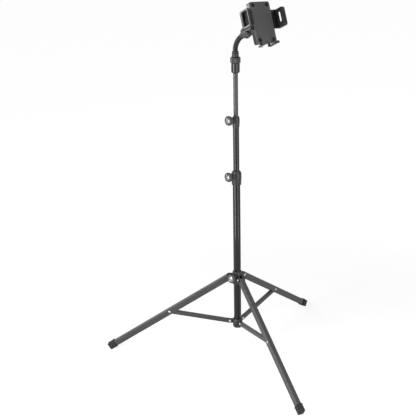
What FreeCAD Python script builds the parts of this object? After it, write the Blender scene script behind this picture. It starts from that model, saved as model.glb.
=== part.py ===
import FreeCAD, Part
import math
import os
import Sketcher
from FreeCAD import Placement, Rotation, Vector

# Driving sizes, in millimetres and degrees
SIZES = {
    # Clearances: turning and sliding fits, glued or pressed seats, and free air
    "running_fit": 0.05,
    "seat_fit": 0.02,
    "air_gap": 0.3,
    # Telescopic mast
    "main_tube_d": 20.0,
    "main_tube_wall": 1.5,
    "main_tube_foot": 83.0,
    "main_tube_length": 424.0,
    "middle_tube_d": 16.0,
    "middle_tube_wall": 1.2,
    "middle_tube_length": 400.0,
    "middle_tube_shown": 119.0,
    "top_tube_d": 12.0,
    "top_tube_wall": 1.0,
    "top_tube_length": 395.0,
    "top_tube_shown": 113.5,
    "plug_length": 10.0,
    "plug_head": 2.0,
    # Tube clamps
    "clamp_seat": 14.0,
    "bush_wall": 1.4,
    "bush_stand": 1.0,
    "lower_clamp_d": 27.0,
    "lower_clamp_length": 36.0,
    "lower_clamp_boss": 18.0,
    "lower_clamp_boss_d": 14.0,
    "lower_clamp_knob_up": 25.3,
    "upper_clamp_d": 19.4,
    "upper_clamp_length": 27.0,
    "upper_clamp_boss": 15.0,
    "upper_clamp_boss_d": 12.4,
    "upper_clamp_knob_up": 20.5,
    "clamp_turn": -140.0,
    "clamp_edge": 1.2,
    # Clamping screws, their nuts and knobs
    "screw_d": 5.0,
    "screw_tip_gap": 0.2,
    "nut_flats": 8.0,
    "nut_thick": 4.0,
    "nut_cover": 2.0,
    "knob_d": 25.0,
    "knob_length": 13.5,
    "knob_collar": 3.0,
    "knob_collar_d": 13.0,
    "knob_gap": 0.6,
    "knob_bore": 9.5,
    "knob_scoops": 6.0,
    "knob_scoop_d": 7.0,
    "knob_scoop_at": 14.6,
    "knob_edge": 1.5,
    "cap_d": 15.5,
    "cap_thick": 1.6,
    "cap_dome": 0.8,
    # Sliding hub and fixed lower collar
    "hub_d": 26.4,
    "hub_low": 209.5,
    "hub_length": 37.5,
    "hub_boss": 18.0,
    "hub_boss_d": 14.0,
    "hub_knob_up": 24.0,
    "hub_pivot_reach": 22.2,
    "hub_pivot_up": 20.4,
    "ear_thick": 3.2,
    "ear_d": 13.6,
    "collar_d": 26.4,
    "collar_low": 81.5,
    "collar_length": 24.5,
    "collar_pivot_reach": 20.9,
    "collar_pivot_up": 16.3,
    "lug_d": 12.0,
    # Legs, braces, rivets and feet
    "first_leg_turn": 173.86,
    "leg_slope": 56.65,
    "leg_width": 13.0,
    "leg_depth": 16.5,
    "leg_wall": 1.2,
    "leg_length": 406.0,
    "leg_rivet_at": 197.6,
    "leg_edge": 2.2,
    "leg_web_start": 2.5,
    "brace_side_gap": 1.1,
    "brace_depth": 11.0,
    "brace_wall": 1.1,
    "brace_edge": 1.6,
    "brace_web_start": 8.5,
    "foot_length": 22.0,
    "foot_end": 4.0,
    "foot_wall": 1.6,
    "foot_edge": 2.5,
    "foot_groove": 0.8,
    "foot_groove_at": 4.0,
    "rivet_d": 4.4,
    "rivet_head_d": 7.0,
    "rivet_head": 0.9,
    # Coupling under the flexible neck
    "sleeve_d": 22.0,
    "sleeve_length": 25.5,
    "sleeve_seat": 14.0,
    "sleeve_edge": 3.0,
    "spigot_d": 12.0,
    "spigot_length": 10.5,
    "coupling_d": 26.0,
    "coupling_length": 14.5,
    "coupling_lip": 2.0,
    "coupling_rib_d": 2.6,
    "coupling_ribs": 20.0,
    "ferrule_d": 17.6,
    "ferrule_length": 14.0,
    "ferrule_edge": 1.5,
    "ferrule_neck_d": 13.0,
    "flange_d": 18.0,
    "flange_thick": 1.7,
    # Flexible neck
    "neck_d": 13.2,
    "neck_groove_d": 11.6,
    "neck_bore_d": 4.0,
    "neck_tail": 8.0,
    "neck_straight": 2.0,
    "neck_bend_radius": 46.0,
    "neck_bend": 52.0,
    "neck_turn": -30.0,
    "neck_seam": 1.3,
    "neck_ball_d": 9.2,
    "neck_joints": 4.0,
    # Ball joint at the end of the neck
    "cup_stem_d": 15.2,
    "cup_stem": 6.0,
    "cup_cone": 2.0,
    "cup_d": 23.0,
    "cup_to_ball": 24.0,
    "cup_rim": 1.0,
    "seat_d": 20.8,
    "seat_base": 1.0,
    "ball_d": 18.0,
    "ball_nut_d": 29.0,
    "ball_nut_back": 14.0,
    "ball_nut_mouth": 60.0,
    "ball_nut_edge": 1.2,
    "ball_nut_scoops": 16.0,
    "ball_nut_scoop_d": 3.6,
    "ball_nut_scoop_at": 15.2,
    "stud_neck_d": 8.0,
    "stud_flare_d": 21.0,
    "stud_flare": 16.0,
    "stud_disc": 4.0,
    "ball_to_plate": 68.0,
    # Phone holder housing
    "holder_turn": -56.4,
    "holder_tilt": 25.8,
    "holder_roll": -4.0,
    "plate_width": 58.0,
    "plate_height": 103.0,
    "plate_thick": 3.0,
    "plate_corner": 5.0,
    "plate_edge": 1.0,
    "notch_width": 10.0,
    "notch_depth": 2.0,
    "shell_depth": 13.5,
    "shell_wall": 2.0,
    "shell_floor": 3.0,
    "shell_edge": 2.5,
    "shell_boss_d": 26.0,
    "shell_boss": 8.0,
    "swivel_d": 10.0,
    "swivel_bore": 6.8,
    "swivel_web": 1.7,
    "swivel_screw_d": 3.4,
    "swivel_screw_length": 7.1,
    "swivel_head_d": 7.0,
    "swivel_head": 2.2,
    "post_d": 7.0,
    "post_across": 20.0,
    "post_along": 43.0,
    "case_screw_d": 2.4,
    "case_screw_head_d": 5.4,
    "case_screw_head": 1.1,
    "case_screw_length": 9.6,
    "disc_d": 9.4,
    "disc_sunk": 1.2,
    "disc_stand": 0.4,
    # Sliding arms with their jaws and pads
    "arm_centre": 7.7,
    "arm_height": 47.0,
    "arm_thick": 5.0,
    "arm_front": 3.5,
    "arm_inner": 17.5,
    "jaw_inner": 46.0,
    "jaw_thick": 8.0,
    "jaw_back": 13.5,
    "jaw_reach": 23.0,
    "jaw_corner": 6.0,
    "jaw_lip": 4.0,
    "jaw_lip_thick": 3.0,
    "window_back": 6.0,
    "window_front": 15.0,
    "window_low": 15.5,
    "window_high": 18.0,
    "window_corner": 4.0,
    "pad_thick": 3.0,
    "pad_margin": 1.5,
    "pad_corner": 3.0,
    "pad_rib": 0.8,
    "pad_ribs": 2.0,
    # Racks and pinion that keep the arms together
    "rack_outer": 25.0,
    "rack_reach": 8.0,
    "rack_thick": 3.5,
    "rack_height": 5.0,
    "rack_teeth": 9.0,
    "tooth_module": 1.0,
    "tooth_height": 1.6,
    "tooth_width": 1.0,
    "tooth_clear": 0.15,
    "pinion_teeth": 12.0,
    "pinion_thick": 3.0,
    "pinion_bore_d": 4.0,
    "pinion_seat": 1.2,
    "pinion_seat_d": 8.0,
    "pinion_stop_d": 5.0,
    # Release button in the back of the housing
    "button_at": 40.0,
    "button_d": 11.0,
    "button_flange_d": 14.0,
    "button_flange": 1.5,
    "button_stand": 1.6,
    # Drop-down rest under the phone
    "rest_across": 16.0,
    "rest_width": 7.0,
    "rest_thick": 3.5,
    "rest_drop": 3.0,
    "rest_back": 14.0,
    "rest_reach": 22.0,
    "rest_lip": 2.0,
    "rest_lip_thick": 3.0,
    "rest_foot": 5.0,
    "rest_stem_across": 11.5,
    "rest_stem_width": 6.0,
    "rest_stem_thick": 3.0,
    "rest_stem_lift": 0.7,
    "rest_stem_top": 28.0,
    "rest_bar": 6.0,
}

doc = FreeCAD.newDocument("phone_floor_stand")
sheet = doc.addObject("Spreadsheet::Sheet", "Sizes")
nodes = []


# A size carries its number and the sheet formula that gives it
class Size:
    def __init__(self, value, text):
        self.value = value
        self.text = text

    def joined(self, sign, other, value, swapped=False):
        pair = (written(other), sign, self.text) if swapped else (self.text, sign, written(other))
        return Size(value, "(%s %s %s)" % pair)

    def __add__(self, other):
        return self.joined("+", other, self.value + number(other))

    def __radd__(self, other):
        return self.joined("+", other, self.value + number(other), True)

    def __sub__(self, other):
        return self.joined("-", other, self.value - number(other))

    def __rsub__(self, other):
        return self.joined("-", other, number(other) - self.value, True)

    def __mul__(self, other):
        return self.joined("*", other, self.value * number(other))

    def __rmul__(self, other):
        return self.joined("*", other, self.value * number(other), True)

    def __truediv__(self, other):
        return self.joined("/", other, self.value / number(other))

    def __neg__(self):
        return self.joined("*", -1, -self.value)


# All sizes by name, such as size.main_tube_d
class Sheet:
    def __init__(self, sizes):
        for row, (name, value) in enumerate(sizes.items(), start=1):
            sheet.set("A%d" % row, name)
            sheet.set("B%d" % row, str(value))
            sheet.setAlias("B%d" % row, name)
            setattr(self, name, Size(value, "Sizes." + name))
        doc.recompute()


def number(size):
    return size.value if isinstance(size, Size) else size


def written(size):
    return size.text if isinstance(size, Size) else repr(size)


def vector(x, y, z):
    return Vector(number(x), number(y), number(z))


size = Sheet(SIZES)

# Directions in which turned pieces are laid
X_AXIS = Vector(1, 0, 0)
Y_AXIS = Vector(0, 1, 0)
Z_AXIS = Vector(0, 0, 1)
ALONG_X = Rotation(Y_AXIS, 90)
ALONG_Y = Rotation(X_AXIS, -90)


# Helpers that make one primitive or one boolean each
def bind(piece, **values):
    for name, value in values.items():
        if isinstance(value, Size):
            piece.setExpression(name, value.text)
        else:
            setattr(piece, name, value)


def put(piece, at, turn=None):
    piece.Placement = Placement(vector(*at), turn or Rotation())
    for axis, value in zip("xyz", at):
        if isinstance(value, Size):
            piece.setExpression("Placement.Base." + axis, value.text)


def moved(piece, frame):
    for axis in "xyz":
        piece.setExpression("Placement.Base." + axis, None)
    piece.Placement = frame * piece.Placement
    return piece


def cylinder(name, diameter, length, at=(0, 0, 0), turn=None):
    piece = doc.addObject("Part::Cylinder", name)
    put(piece, at, turn)
    bind(piece, Radius=diameter / 2, Height=length)
    return piece


def cone(name, diameter, end_diameter, length, at=(0, 0, 0), turn=None):
    piece = doc.addObject("Part::Cone", name)
    put(piece, at, turn)
    bind(piece, Radius1=diameter / 2, Radius2=end_diameter / 2, Height=length)
    return piece


def sphere(name, diameter, at=(0, 0, 0)):
    piece = doc.addObject("Part::Sphere", name)
    put(piece, at)
    bind(piece, Radius=diameter / 2)
    return piece


def hexagon(name, flats, length, at=(0, 0, 0), turn=None):
    piece = doc.addObject("Part::Prism", name)
    put(piece, at, turn)
    bind(piece, Polygon=6, Circumradius=flats / math.sqrt(3), Height=length)
    return piece


def box(name, x, y, z):
    piece = doc.addObject("Part::Box", name)
    put(piece, (x[0], y[0], z[0]))
    bind(piece, Length=x[1] - x[0], Width=y[1] - y[0], Height=z[1] - z[0])
    return piece


def fuse(name, *parts):
    piece = doc.addObject("Part::MultiFuse", name)
    piece.Shapes = list(parts)
    piece.Refine = True
    return piece


def cut(name, base, *tools):
    piece = doc.addObject("Part::Cut", name)
    piece.Base = base
    piece.Tool = tools[0] if len(tools) == 1 else fuse(name + "_cutters", *tools)
    piece.Refine = True
    return piece


def tube(name, diameter, bore, length, at=(0, 0, 0), turn=None):
    outside = cylinder(name + "_outside", diameter, length, at, turn)
    inside = cylinder(name + "_inside", bore, length, at, turn)
    return cut(name, outside, inside)


# A turned piece: plain and tapered lengths through stations of height and diameter
def turned(name, *stations):
    lengths = []
    for step, (low, high) in enumerate(zip(stations, stations[1:])):
        label = "%s_length_%d" % (name, step)
        rise = high[0] - low[0]
        if number(rise) == 0:
            continue
        if number(low[1]) == number(high[1]):
            lengths.append(cylinder(label, low[1], rise, (0, 0, low[0])))
        else:
            lengths.append(cone(label, low[1], high[1], rise, (0, 0, low[0])))
    return fuse(name, *lengths)


# A barrel with both rims bevelled
def barrel(name, diameter, length, edge, low=0):
    rim = diameter - 2 * edge
    return turned(name, (low, rim), (low + edge, diameter), (low + length - edge, diameter),
                  (low + length, rim))


# A block with upright corners rounded: two boxes and four round corners
def rounded_block(name, x, y, z, corner):
    parts = [
        box(name + "_wide", x, (y[0] + corner, y[1] - corner), z),
        box(name + "_tall", (x[0] + corner, x[1] - corner), y, z),
    ]
    for column, cx in enumerate((x[0] + corner, x[1] - corner)):
        for row, cy in enumerate((y[0] + corner, y[1] - corner)):
            label = "%s_corner_%d%d" % (name, column, row)
            parts.append(cylinder(label, 2 * corner, z[1] - z[0], (cx, cy, z[0])))
    return fuse(name, *parts)


# Cylinders in a ring, for ribs, scoops and teeth
def ring_of(name, count, diameter, reach, low, length):
    pieces = []
    for step in range(int(number(count))):
        angle = 2 * math.pi * step / number(count)
        at = (reach * math.cos(angle), reach * math.sin(angle), low)
        pieces.append(cylinder("%s_%d" % (name, step), diameter, length, at))
    return pieces


# Round the edges that a test picks out
def rounded(name, base, radius, picks):
    doc.recompute()
    piece = doc.addObject("Part::Fillet", name)
    piece.Base = base
    reach = number(radius)
    chosen = [i for i, edge in enumerate(base.Shape.Edges, start=1) if picks(edge)]
    piece.Edges = [(i, reach, reach) for i in chosen]
    return piece


def lies_at(edge, axis, value):
    away = [abs(getattr(corner.Point, axis) - number(value)) for corner in edge.Vertexes]
    return bool(away) and max(away) < 1e-4


def node(name, piece, frame=None):
    piece.Label = name
    nodes.append(piece)
    return moved(piece, frame) if frame else piece


# Sketch, pad and pocket helpers for the pressed steel channels
def sketch(body, name):
    plane = [f for f in body.Origin.OriginFeatures if f.Role == "XZ_Plane"][0]
    outline = body.newObject("Sketcher::SketchObject", name)
    outline.AttachmentSupport = [(plane, "")]
    outline.MapMode = "FlatFace"
    return outline


def fix(outline, direction, geometry, point, value):
    if number(value) == 0:
        axis = -2 if direction == "X" else -1
        outline.addConstraint(Sketcher.Constraint("PointOnObject", geometry, point, axis))
        return
    kind = "Distance" + direction
    rule = Sketcher.Constraint(kind, -1, 1, geometry, point, number(value))
    index = outline.addConstraint(rule)
    if isinstance(value, Size):
        outline.setExpression("Constraints[%d]" % index, value.text)


def rectangle(body, name, x, z):
    outline = sketch(body, name)
    corners = [vector(x[0], z[0], 0), vector(x[1], z[0], 0), vector(x[1], z[1], 0), vector(x[0], z[1], 0)]
    for side in range(4):
        outline.addGeometry(Part.LineSegment(corners[side], corners[(side + 1) % 4]), False)
    for side in range(4):
        outline.addConstraint(Sketcher.Constraint("Coincident", side, 2, (side + 1) % 4, 1))
        level = "Vertical" if side % 2 else "Horizontal"
        outline.addConstraint(Sketcher.Constraint(level, side))
    fix(outline, "X", 0, 1, x[0])
    fix(outline, "Y", 0, 1, z[0])
    fix(outline, "X", 2, 1, x[1])
    fix(outline, "Y", 2, 1, z[1])
    return outline


def circle(body, name, diameter, x, z=0):
    outline = sketch(body, name)
    centre = vector(x, z, 0)
    outline.addGeometry(Part.Circle(centre, Z_AXIS, number(diameter) / 2), False)
    index = outline.addConstraint(Sketcher.Constraint("Diameter", 0, number(diameter)))
    outline.setExpression("Constraints[%d]" % index, diameter.text)
    fix(outline, "X", 0, 3, x)
    fix(outline, "Y", 0, 3, z)
    return outline


def extrude(body, kind, name, outline, width):
    feature = body.newObject("PartDesign::" + kind, name)
    feature.Profile = outline
    feature.SideType = "Symmetric"
    feature.setExpression("Length", width.text)
    return feature


# Frames: every piece is drawn about its own axis and then laid in its place
def upright(height, turn=0):
    return Placement(vector(0, 0, height), Rotation(Z_AXIS, number(turn)))


def shifted(x, y, z):
    return Placement(vector(x, y, z), Rotation())


def tilted(axis, angle):
    return Placement(Vector(), Rotation(axis, angle))


LEG_TURNS = [number(size.first_leg_turn) + step for step in (0, -120, 120)]


def in_leg_plane(turn, reach, height, slope):
    lean = Rotation(Y_AXIS, 90 - number(slope))
    return upright(height, turn) * Placement(vector(reach, 0, 0), lean)


# Main tube: drawn steel, closed at the foot by a pushed-in plastic plug
main_tube_bore = size.main_tube_d - 2 * size.main_tube_wall
main_tube_top = size.main_tube_foot + size.main_tube_length
node("main_tube", tube("main_tube", size.main_tube_d, main_tube_bore, size.main_tube_length),
     upright(size.main_tube_foot))
plug_shank = cylinder("plug_shank", main_tube_bore - 2 * size.seat_fit, size.plug_length)
plug_head = cylinder("plug_head", size.main_tube_d, size.plug_head, (0, 0, -size.plug_head))
node("main_tube_plug", fuse("main_tube_plug", plug_shank, plug_head), upright(size.main_tube_foot))

# Lower collar: a moulded ring fixed near the foot of the main tube, with a lug for each brace
collar_pivot_height = size.collar_low + size.collar_pivot_up
brace_width = size.leg_width - 2 * size.leg_wall - 2 * size.brace_side_gap
lug_thick = brace_width - 2 * size.brace_wall - 2 * size.air_gap
pin_seat_d = size.rivet_d + 2 * size.seat_fit
pin_turn_d = size.rivet_d + 2 * size.running_fit
collar_parts = [barrel("collar_ring", size.collar_d, size.collar_length, size.clamp_edge)]
collar_holes = [cylinder("collar_bore", size.main_tube_d + 2 * size.seat_fit, size.collar_length)]
for leg, turn in enumerate(LEG_TURNS, start=1):
    lug_y = (-lug_thick / 2, lug_thick / 2)
    lug_z = (size.collar_pivot_up - size.lug_d / 2, size.collar_pivot_up + size.lug_d / 2)
    eye_at = (size.collar_pivot_reach, -lug_thick / 2, size.collar_pivot_up)
    web = box("lug_web_%d" % leg, (size.main_tube_d / 4, size.collar_pivot_reach), lug_y, lug_z)
    eye = cylinder("lug_eye_%d" % leg, size.lug_d, lug_thick, eye_at, ALONG_Y)
    hole = cylinder("lug_hole_%d" % leg, pin_seat_d, lug_thick, eye_at, ALONG_Y)
    for piece in (web, eye, hole):
        moved(piece, tilted(Z_AXIS, turn))
    collar_parts += [web, eye]
    collar_holes.append(hole)
node("lower_collar", cut("lower_collar", fuse("collar_solid", *collar_parts), *collar_holes),
     upright(size.collar_low))


# Rivets: a shank across the pieces that it joins and a low domed head at each end
def rivet_head(name, start, outward):
    rim = size.rivet_head_d - 2 * size.rivet_head
    return cone(name, size.rivet_head_d, rim, size.rivet_head, (0, outward * start, 0),
                Rotation(X_AXIS, -90 * outward))


def rivet(name, grip):
    reach = grip / 2 + size.running_fit
    shank = cylinder(name + "_shank", size.rivet_d, 2 * reach, (0, -reach, 0), ALONG_Y)
    return fuse(name, shank, rivet_head(name + "_left", reach, 1), rivet_head(name + "_right", reach, -1))


collar_rivets = []
for leg, turn in enumerate(LEG_TURNS, start=1):
    place = upright(collar_pivot_height, turn) * shifted(size.collar_pivot_reach, 0, 0)
    collar_rivets.append(moved(rivet("collar_rivet_%d" % leg, brace_width), place))
node("lower_collar_rivets", fuse("lower_collar_rivets", *collar_rivets))


# Hole for a clamping screw along X and the pocket of its moulded-in nut
def screw_cutters(name, boss, knob_up):
    hole_d = size.screw_d + 2 * size.air_gap
    start = boss - size.nut_cover - size.nut_thick
    return [
        cylinder(name + "_screw_hole", hole_d, boss + size.nut_cover, (0, 0, knob_up), ALONG_X),
        hexagon(name + "_nut_pocket", size.nut_flats + 2 * size.seat_fit, size.nut_thick,
                (start, 0, knob_up), ALONG_X),
    ]


# Clamping screw set along X: the nut, the screw, its lobed knob and the bright cap in the knob
def screw_set(name, boss, pressed_d, frame):
    nut_start = boss - size.nut_cover - size.nut_thick
    nut_body = hexagon(name + "_nut_body", size.nut_flats, size.nut_thick, (nut_start, 0, 0), ALONG_X)
    nut_thread = cylinder(name + "_nut_thread", size.screw_d + 2 * size.running_fit, size.nut_thick,
                          (nut_start, 0, 0), ALONG_X)
    node(name + "_nut", cut(name + "_nut", nut_body, nut_thread), frame)

    tip = pressed_d / 2 + size.screw_tip_gap
    point = size.knob_gap
    knob_start = boss + size.knob_gap
    screw_end = knob_start + size.knob_bore - size.running_fit
    shank = turned(name + "_screw", (tip, size.screw_d - point), (tip + point, size.screw_d),
                   (screw_end, size.screw_d))
    node(name + "_screw", shank, frame * Placement(Vector(), ALONG_X))

    rim = size.knob_d - 2 * size.knob_edge
    back = size.knob_collar
    front = size.knob_length - size.knob_edge
    grip = turned(name + "_knob_grip", (0, size.knob_collar_d), (back, size.knob_collar_d), (back, rim),
                  (back + size.knob_edge, size.knob_d), (front, size.knob_d), (size.knob_length, rim))
    bore = cylinder(name + "_knob_bore", size.screw_d + 2 * size.running_fit, size.knob_bore)
    recess = cylinder(name + "_knob_recess", size.cap_d + 2 * size.seat_fit, size.cap_thick,
                      (0, 0, size.knob_length - size.cap_thick))
    scoops = ring_of(name + "_knob_scoop", size.knob_scoops, size.knob_scoop_d, size.knob_scoop_at, 0,
                     size.knob_length)
    laid = frame * Placement(vector(knob_start, 0, 0), ALONG_X)
    node(name + "_knob", cut(name + "_knob", grip, bore, recess, *scoops), laid)
    cap = turned(name + "_knob_cap", (size.knob_length - size.cap_thick, size.cap_d),
                 (size.knob_length, size.cap_d),
                 (size.knob_length + size.cap_dome, size.cap_d - 4 * size.cap_dome))
    node(name + "_knob_cap", cap, laid)


# Tube clamp: a moulded socket on the outer tube, a bush for the inner tube and a boss for the screw
def clamp(name, low, body_d, length, boss, boss_d, knob_up, outer_d, inner_d):
    bush_bore = inner_d + 2 * size.running_fit
    bush_d = bush_bore + 2 * size.bush_wall
    bush_length = length - size.clamp_seat
    frame = upright(low, size.clamp_turn)
    outside = barrel(name + "_barrel", body_d, length, size.clamp_edge)
    boss_arm = cylinder(name + "_boss_arm", boss_d, boss, (0, 0, knob_up), ALONG_X)
    seat = cylinder(name + "_seat", outer_d + 2 * size.seat_fit, size.clamp_seat)
    bore = cylinder(name + "_bore", bush_d + 2 * size.seat_fit, bush_length, (0, 0, size.clamp_seat))
    cutters = screw_cutters(name, boss, knob_up)
    solid = fuse(name + "_solid", outside, boss_arm)
    node(name + "_body", cut(name + "_body", solid, seat, bore, *cutters), frame)
    liner = tube(name + "_liner", bush_d, bush_bore, bush_length + size.bush_stand,
                 (0, 0, size.clamp_seat))
    window = cylinder(name + "_liner_hole", size.screw_d + 2 * size.air_gap, bush_d, (0, 0, knob_up),
                      ALONG_X)
    node(name + "_bush", cut(name + "_bush", liner, window), frame)
    screw_set(name, boss, inner_d, upright(low + knob_up, size.clamp_turn))


lower_clamp_low = main_tube_top - size.clamp_seat
clamp("lower_clamp", lower_clamp_low, size.lower_clamp_d, size.lower_clamp_length, size.lower_clamp_boss,
      size.lower_clamp_boss_d, size.lower_clamp_knob_up, size.main_tube_d, size.middle_tube_d)

# Middle tube: slides in the main tube and carries the upper clamp
upper_clamp_low = lower_clamp_low + size.lower_clamp_length + size.middle_tube_shown
middle_tube_foot = upper_clamp_low + size.clamp_seat - size.middle_tube_length
node("middle_tube", tube("middle_tube", size.middle_tube_d,
                         size.middle_tube_d - 2 * size.middle_tube_wall, size.middle_tube_length),
     upright(middle_tube_foot))
clamp("upper_clamp", upper_clamp_low, size.upper_clamp_d, size.upper_clamp_length, size.upper_clamp_boss,
      size.upper_clamp_boss_d, size.upper_clamp_knob_up, size.middle_tube_d, size.top_tube_d)

# Top tube: slides in the middle tube and ends in the glossy sleeve under the neck coupling
sleeve_low = upper_clamp_low + size.upper_clamp_length + size.top_tube_shown
top_tube_foot = sleeve_low + size.sleeve_seat - size.top_tube_length
node("top_tube", tube("top_tube", size.top_tube_d, size.top_tube_d - 2 * size.top_tube_wall,
                      size.top_tube_length), upright(top_tube_foot))

# Hub: slides on the main tube, holds each leg between two ears and is locked by its own knob
hub_pivot_height = size.hub_low + size.hub_pivot_up
ear_inner = size.leg_width / 2 + size.air_gap
hub_parts = [barrel("hub_barrel", size.hub_d, size.hub_length, size.clamp_edge)]
hub_cutters = [cylinder("hub_bore", size.main_tube_d + 2 * size.running_fit, size.hub_length)]
hub_rivets = []
for leg, turn in enumerate(LEG_TURNS, start=1):
    for side, lateral, outward in (("left", ear_inner, 1), ("right", -ear_inner - size.ear_thick, -1)):
        label = "ear_%d_%s" % (leg, side)
        ear_z = (size.hub_pivot_up - size.ear_d / 2, size.hub_pivot_up + size.ear_d / 2)
        eye_at = (size.hub_pivot_reach, lateral, size.hub_pivot_up)
        plate = box(label + "_plate", (size.main_tube_d / 4, size.hub_pivot_reach),
                    (lateral, lateral + size.ear_thick), ear_z)
        eye = cylinder(label + "_eye", size.ear_d, size.ear_thick, eye_at, ALONG_Y)
        hole = cylinder(label + "_hole", pin_seat_d, size.ear_thick, eye_at, ALONG_Y)
        for piece in (plate, eye, hole):
            moved(piece, tilted(Z_AXIS, turn))
        hub_parts += [plate, eye]
        hub_cutters.append(hole)
        stub = cylinder(label + "_stub", size.rivet_d, size.ear_thick, (0, lateral, 0), ALONG_Y)
        head = rivet_head(label + "_head", ear_inner + size.ear_thick, outward)
        place = upright(hub_pivot_height, turn) * shifted(size.hub_pivot_reach, 0, 0)
        hub_rivets.append(moved(fuse(label + "_rivet", stub, head), place))
hub_turn = LEG_TURNS[0] + 60
hub_boss = cylinder("hub_boss_arm", size.hub_boss_d, size.hub_boss, (0, 0, size.hub_knob_up), ALONG_X)
hub_parts.append(moved(hub_boss, tilted(Z_AXIS, hub_turn)))
for cutter in screw_cutters("hub", size.hub_boss, size.hub_knob_up):
    hub_cutters.append(moved(cutter, tilted(Z_AXIS, hub_turn)))
node("hub_body", cut("hub_body", fuse("hub_solid", *hub_parts), *hub_cutters), upright(size.hub_low))
node("hub_rivets", fuse("hub_rivets", *hub_rivets))
screw_set("hub", size.hub_boss, size.main_tube_d, upright(size.hub_low + size.hub_knob_up, hub_turn))


# Pressed steel channel, open below: a long bar with round ends, hollowed and pierced for its rivets
def channel(name, length, width, depth, wall, edge, web_start, holes, round_far_end, frame):
    body = doc.addObject("PartDesign::Body", name)
    half = depth / 2
    side = rectangle(body, name + "_side", (0, length), (-half, half))
    bar = extrude(body, "Pad", name + "_bar", side, width)
    doc.recompute()
    long_edges = []
    for i, line in enumerate(bar.Shape.Edges, start=1):
        if lies_at(line, "z", half) and line.Length > number(width) * 1.5:
            long_edges.append("Edge%d" % i)
    rounding = body.newObject("PartDesign::Fillet", name + "_rounding")
    rounding.Base = (bar, long_edges)
    rounding.setExpression("Radius", edge.text)
    body.Tip = rounding
    ends = [0, length] if round_far_end else [0]
    for i, at in enumerate(ends):
        rim = circle(body, "%s_end_line_%d" % (name, i), depth, at)
        extrude(body, "Pad", "%s_end_%d" % (name, i), rim, width)
    inside = width - 2 * wall
    hollow = rectangle(body, name + "_hollow_line", (-depth, length + depth), (-depth, half - wall))
    extrude(body, "Pocket", name + "_hollow", hollow, inside)
    mouths = [(-depth, web_start)]
    if round_far_end:
        mouths.append((length - web_start, length + depth))
    for i, reach in enumerate(mouths):
        mouth = rectangle(body, "%s_mouth_line_%d" % (name, i), reach, (-depth, depth))
        extrude(body, "Pocket", "%s_mouth_%d" % (name, i), mouth, inside)
    for i, (at, hole_d) in enumerate(holes):
        rim = circle(body, "%s_hole_line_%d" % (name, i), hole_d, at)
        extrude(body, "Pocket", "%s_hole_%d" % (name, i), rim, width + 2 * wall)
    return node(name, body, frame)


# The leg rivet's place gives each brace its length and its slope from straight down
slope = math.radians(number(size.leg_slope))
rivet_reach = size.hub_pivot_reach + size.leg_rivet_at * math.sin(slope)
rivet_height = hub_pivot_height - size.leg_rivet_at * math.cos(slope)
brace_run = rivet_reach - size.collar_pivot_reach
brace_rise = rivet_height - collar_pivot_height
brace_length = Size(math.hypot(number(brace_run), number(brace_rise)),
                    "sqrt(%s ^ 2 + %s ^ 2)" % (brace_run.text, brace_rise.text))
brace_slope = math.degrees(math.atan2(number(brace_run), -number(brace_rise)))


# Rubber foot: a boot over the leg's end with a core between the flanges, cut flat where it stands
def foot(name, frame):
    start = size.leg_length - size.foot_length
    across = size.leg_width / 2 + size.foot_wall
    deep = size.leg_depth / 2 + size.foot_wall
    block = box(name + "_block", (start, size.leg_length), (-across, across), (-deep, deep))
    boot = rounded(name + "_boot", block, size.foot_edge, lambda edge: not lies_at(edge, "x", start))
    band_x = (start + size.foot_groove_at, start + size.foot_groove_at + size.foot_groove)
    band = box(name + "_band", band_x, (-2 * across, 2 * across), (-2 * deep, 2 * deep))
    kept_y = (size.foot_groove - across, across - size.foot_groove)
    kept_z = (size.foot_groove - deep, deep - size.foot_groove)
    groove = cut(name + "_groove", band, box(name + "_band_core", band_x, kept_y, kept_z))
    fit_y = size.leg_width / 2 + size.seat_fit
    fit_z = size.leg_depth / 2 + size.seat_fit
    socket_end = size.leg_length - size.foot_end
    socket = box(name + "_socket", (start, socket_end), (-fit_y, fit_y), (-fit_z, fit_z))
    core_y = size.leg_width / 2 - size.leg_wall - size.seat_fit
    core_top = size.leg_depth / 2 - size.leg_wall - size.seat_fit
    core = box(name + "_core", (start, socket_end), (-core_y, core_y), (-fit_z, core_top))
    rubber = fuse(name + "_rubber", cut(name + "_cup", boot, groove, socket), core)
    moved(rubber, frame)
    spread = 2 * size.leg_length
    ground = box(name + "_ground", (-spread, spread), (-spread, spread), (-size.leg_length, 0))
    return node(name, cut(name, rubber, ground))


# Legs with their braces, rivets and feet
for leg, turn in enumerate(LEG_TURNS, start=1):
    leg_frame = in_leg_plane(turn, size.hub_pivot_reach, hub_pivot_height, size.leg_slope)
    brace_frame = in_leg_plane(turn, size.collar_pivot_reach, collar_pivot_height, brace_slope)
    channel("leg_%d" % leg, size.leg_length - size.foot_end, size.leg_width, size.leg_depth,
            size.leg_wall, size.leg_edge, size.leg_web_start,
            [(0, pin_turn_d), (size.leg_rivet_at, pin_seat_d)], False, leg_frame)
    channel("brace_%d" % leg, brace_length, brace_width, size.brace_depth, size.brace_wall,
            size.brace_edge, size.brace_web_start, [(0, pin_turn_d), (brace_length, pin_turn_d)], True,
            brace_frame)
    node("leg_rivet_%d" % leg, rivet("leg_rivet_%d" % leg, size.leg_width),
         leg_frame * shifted(size.leg_rivet_at, 0, 0))
    foot("foot_%d" % leg, leg_frame)

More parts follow.
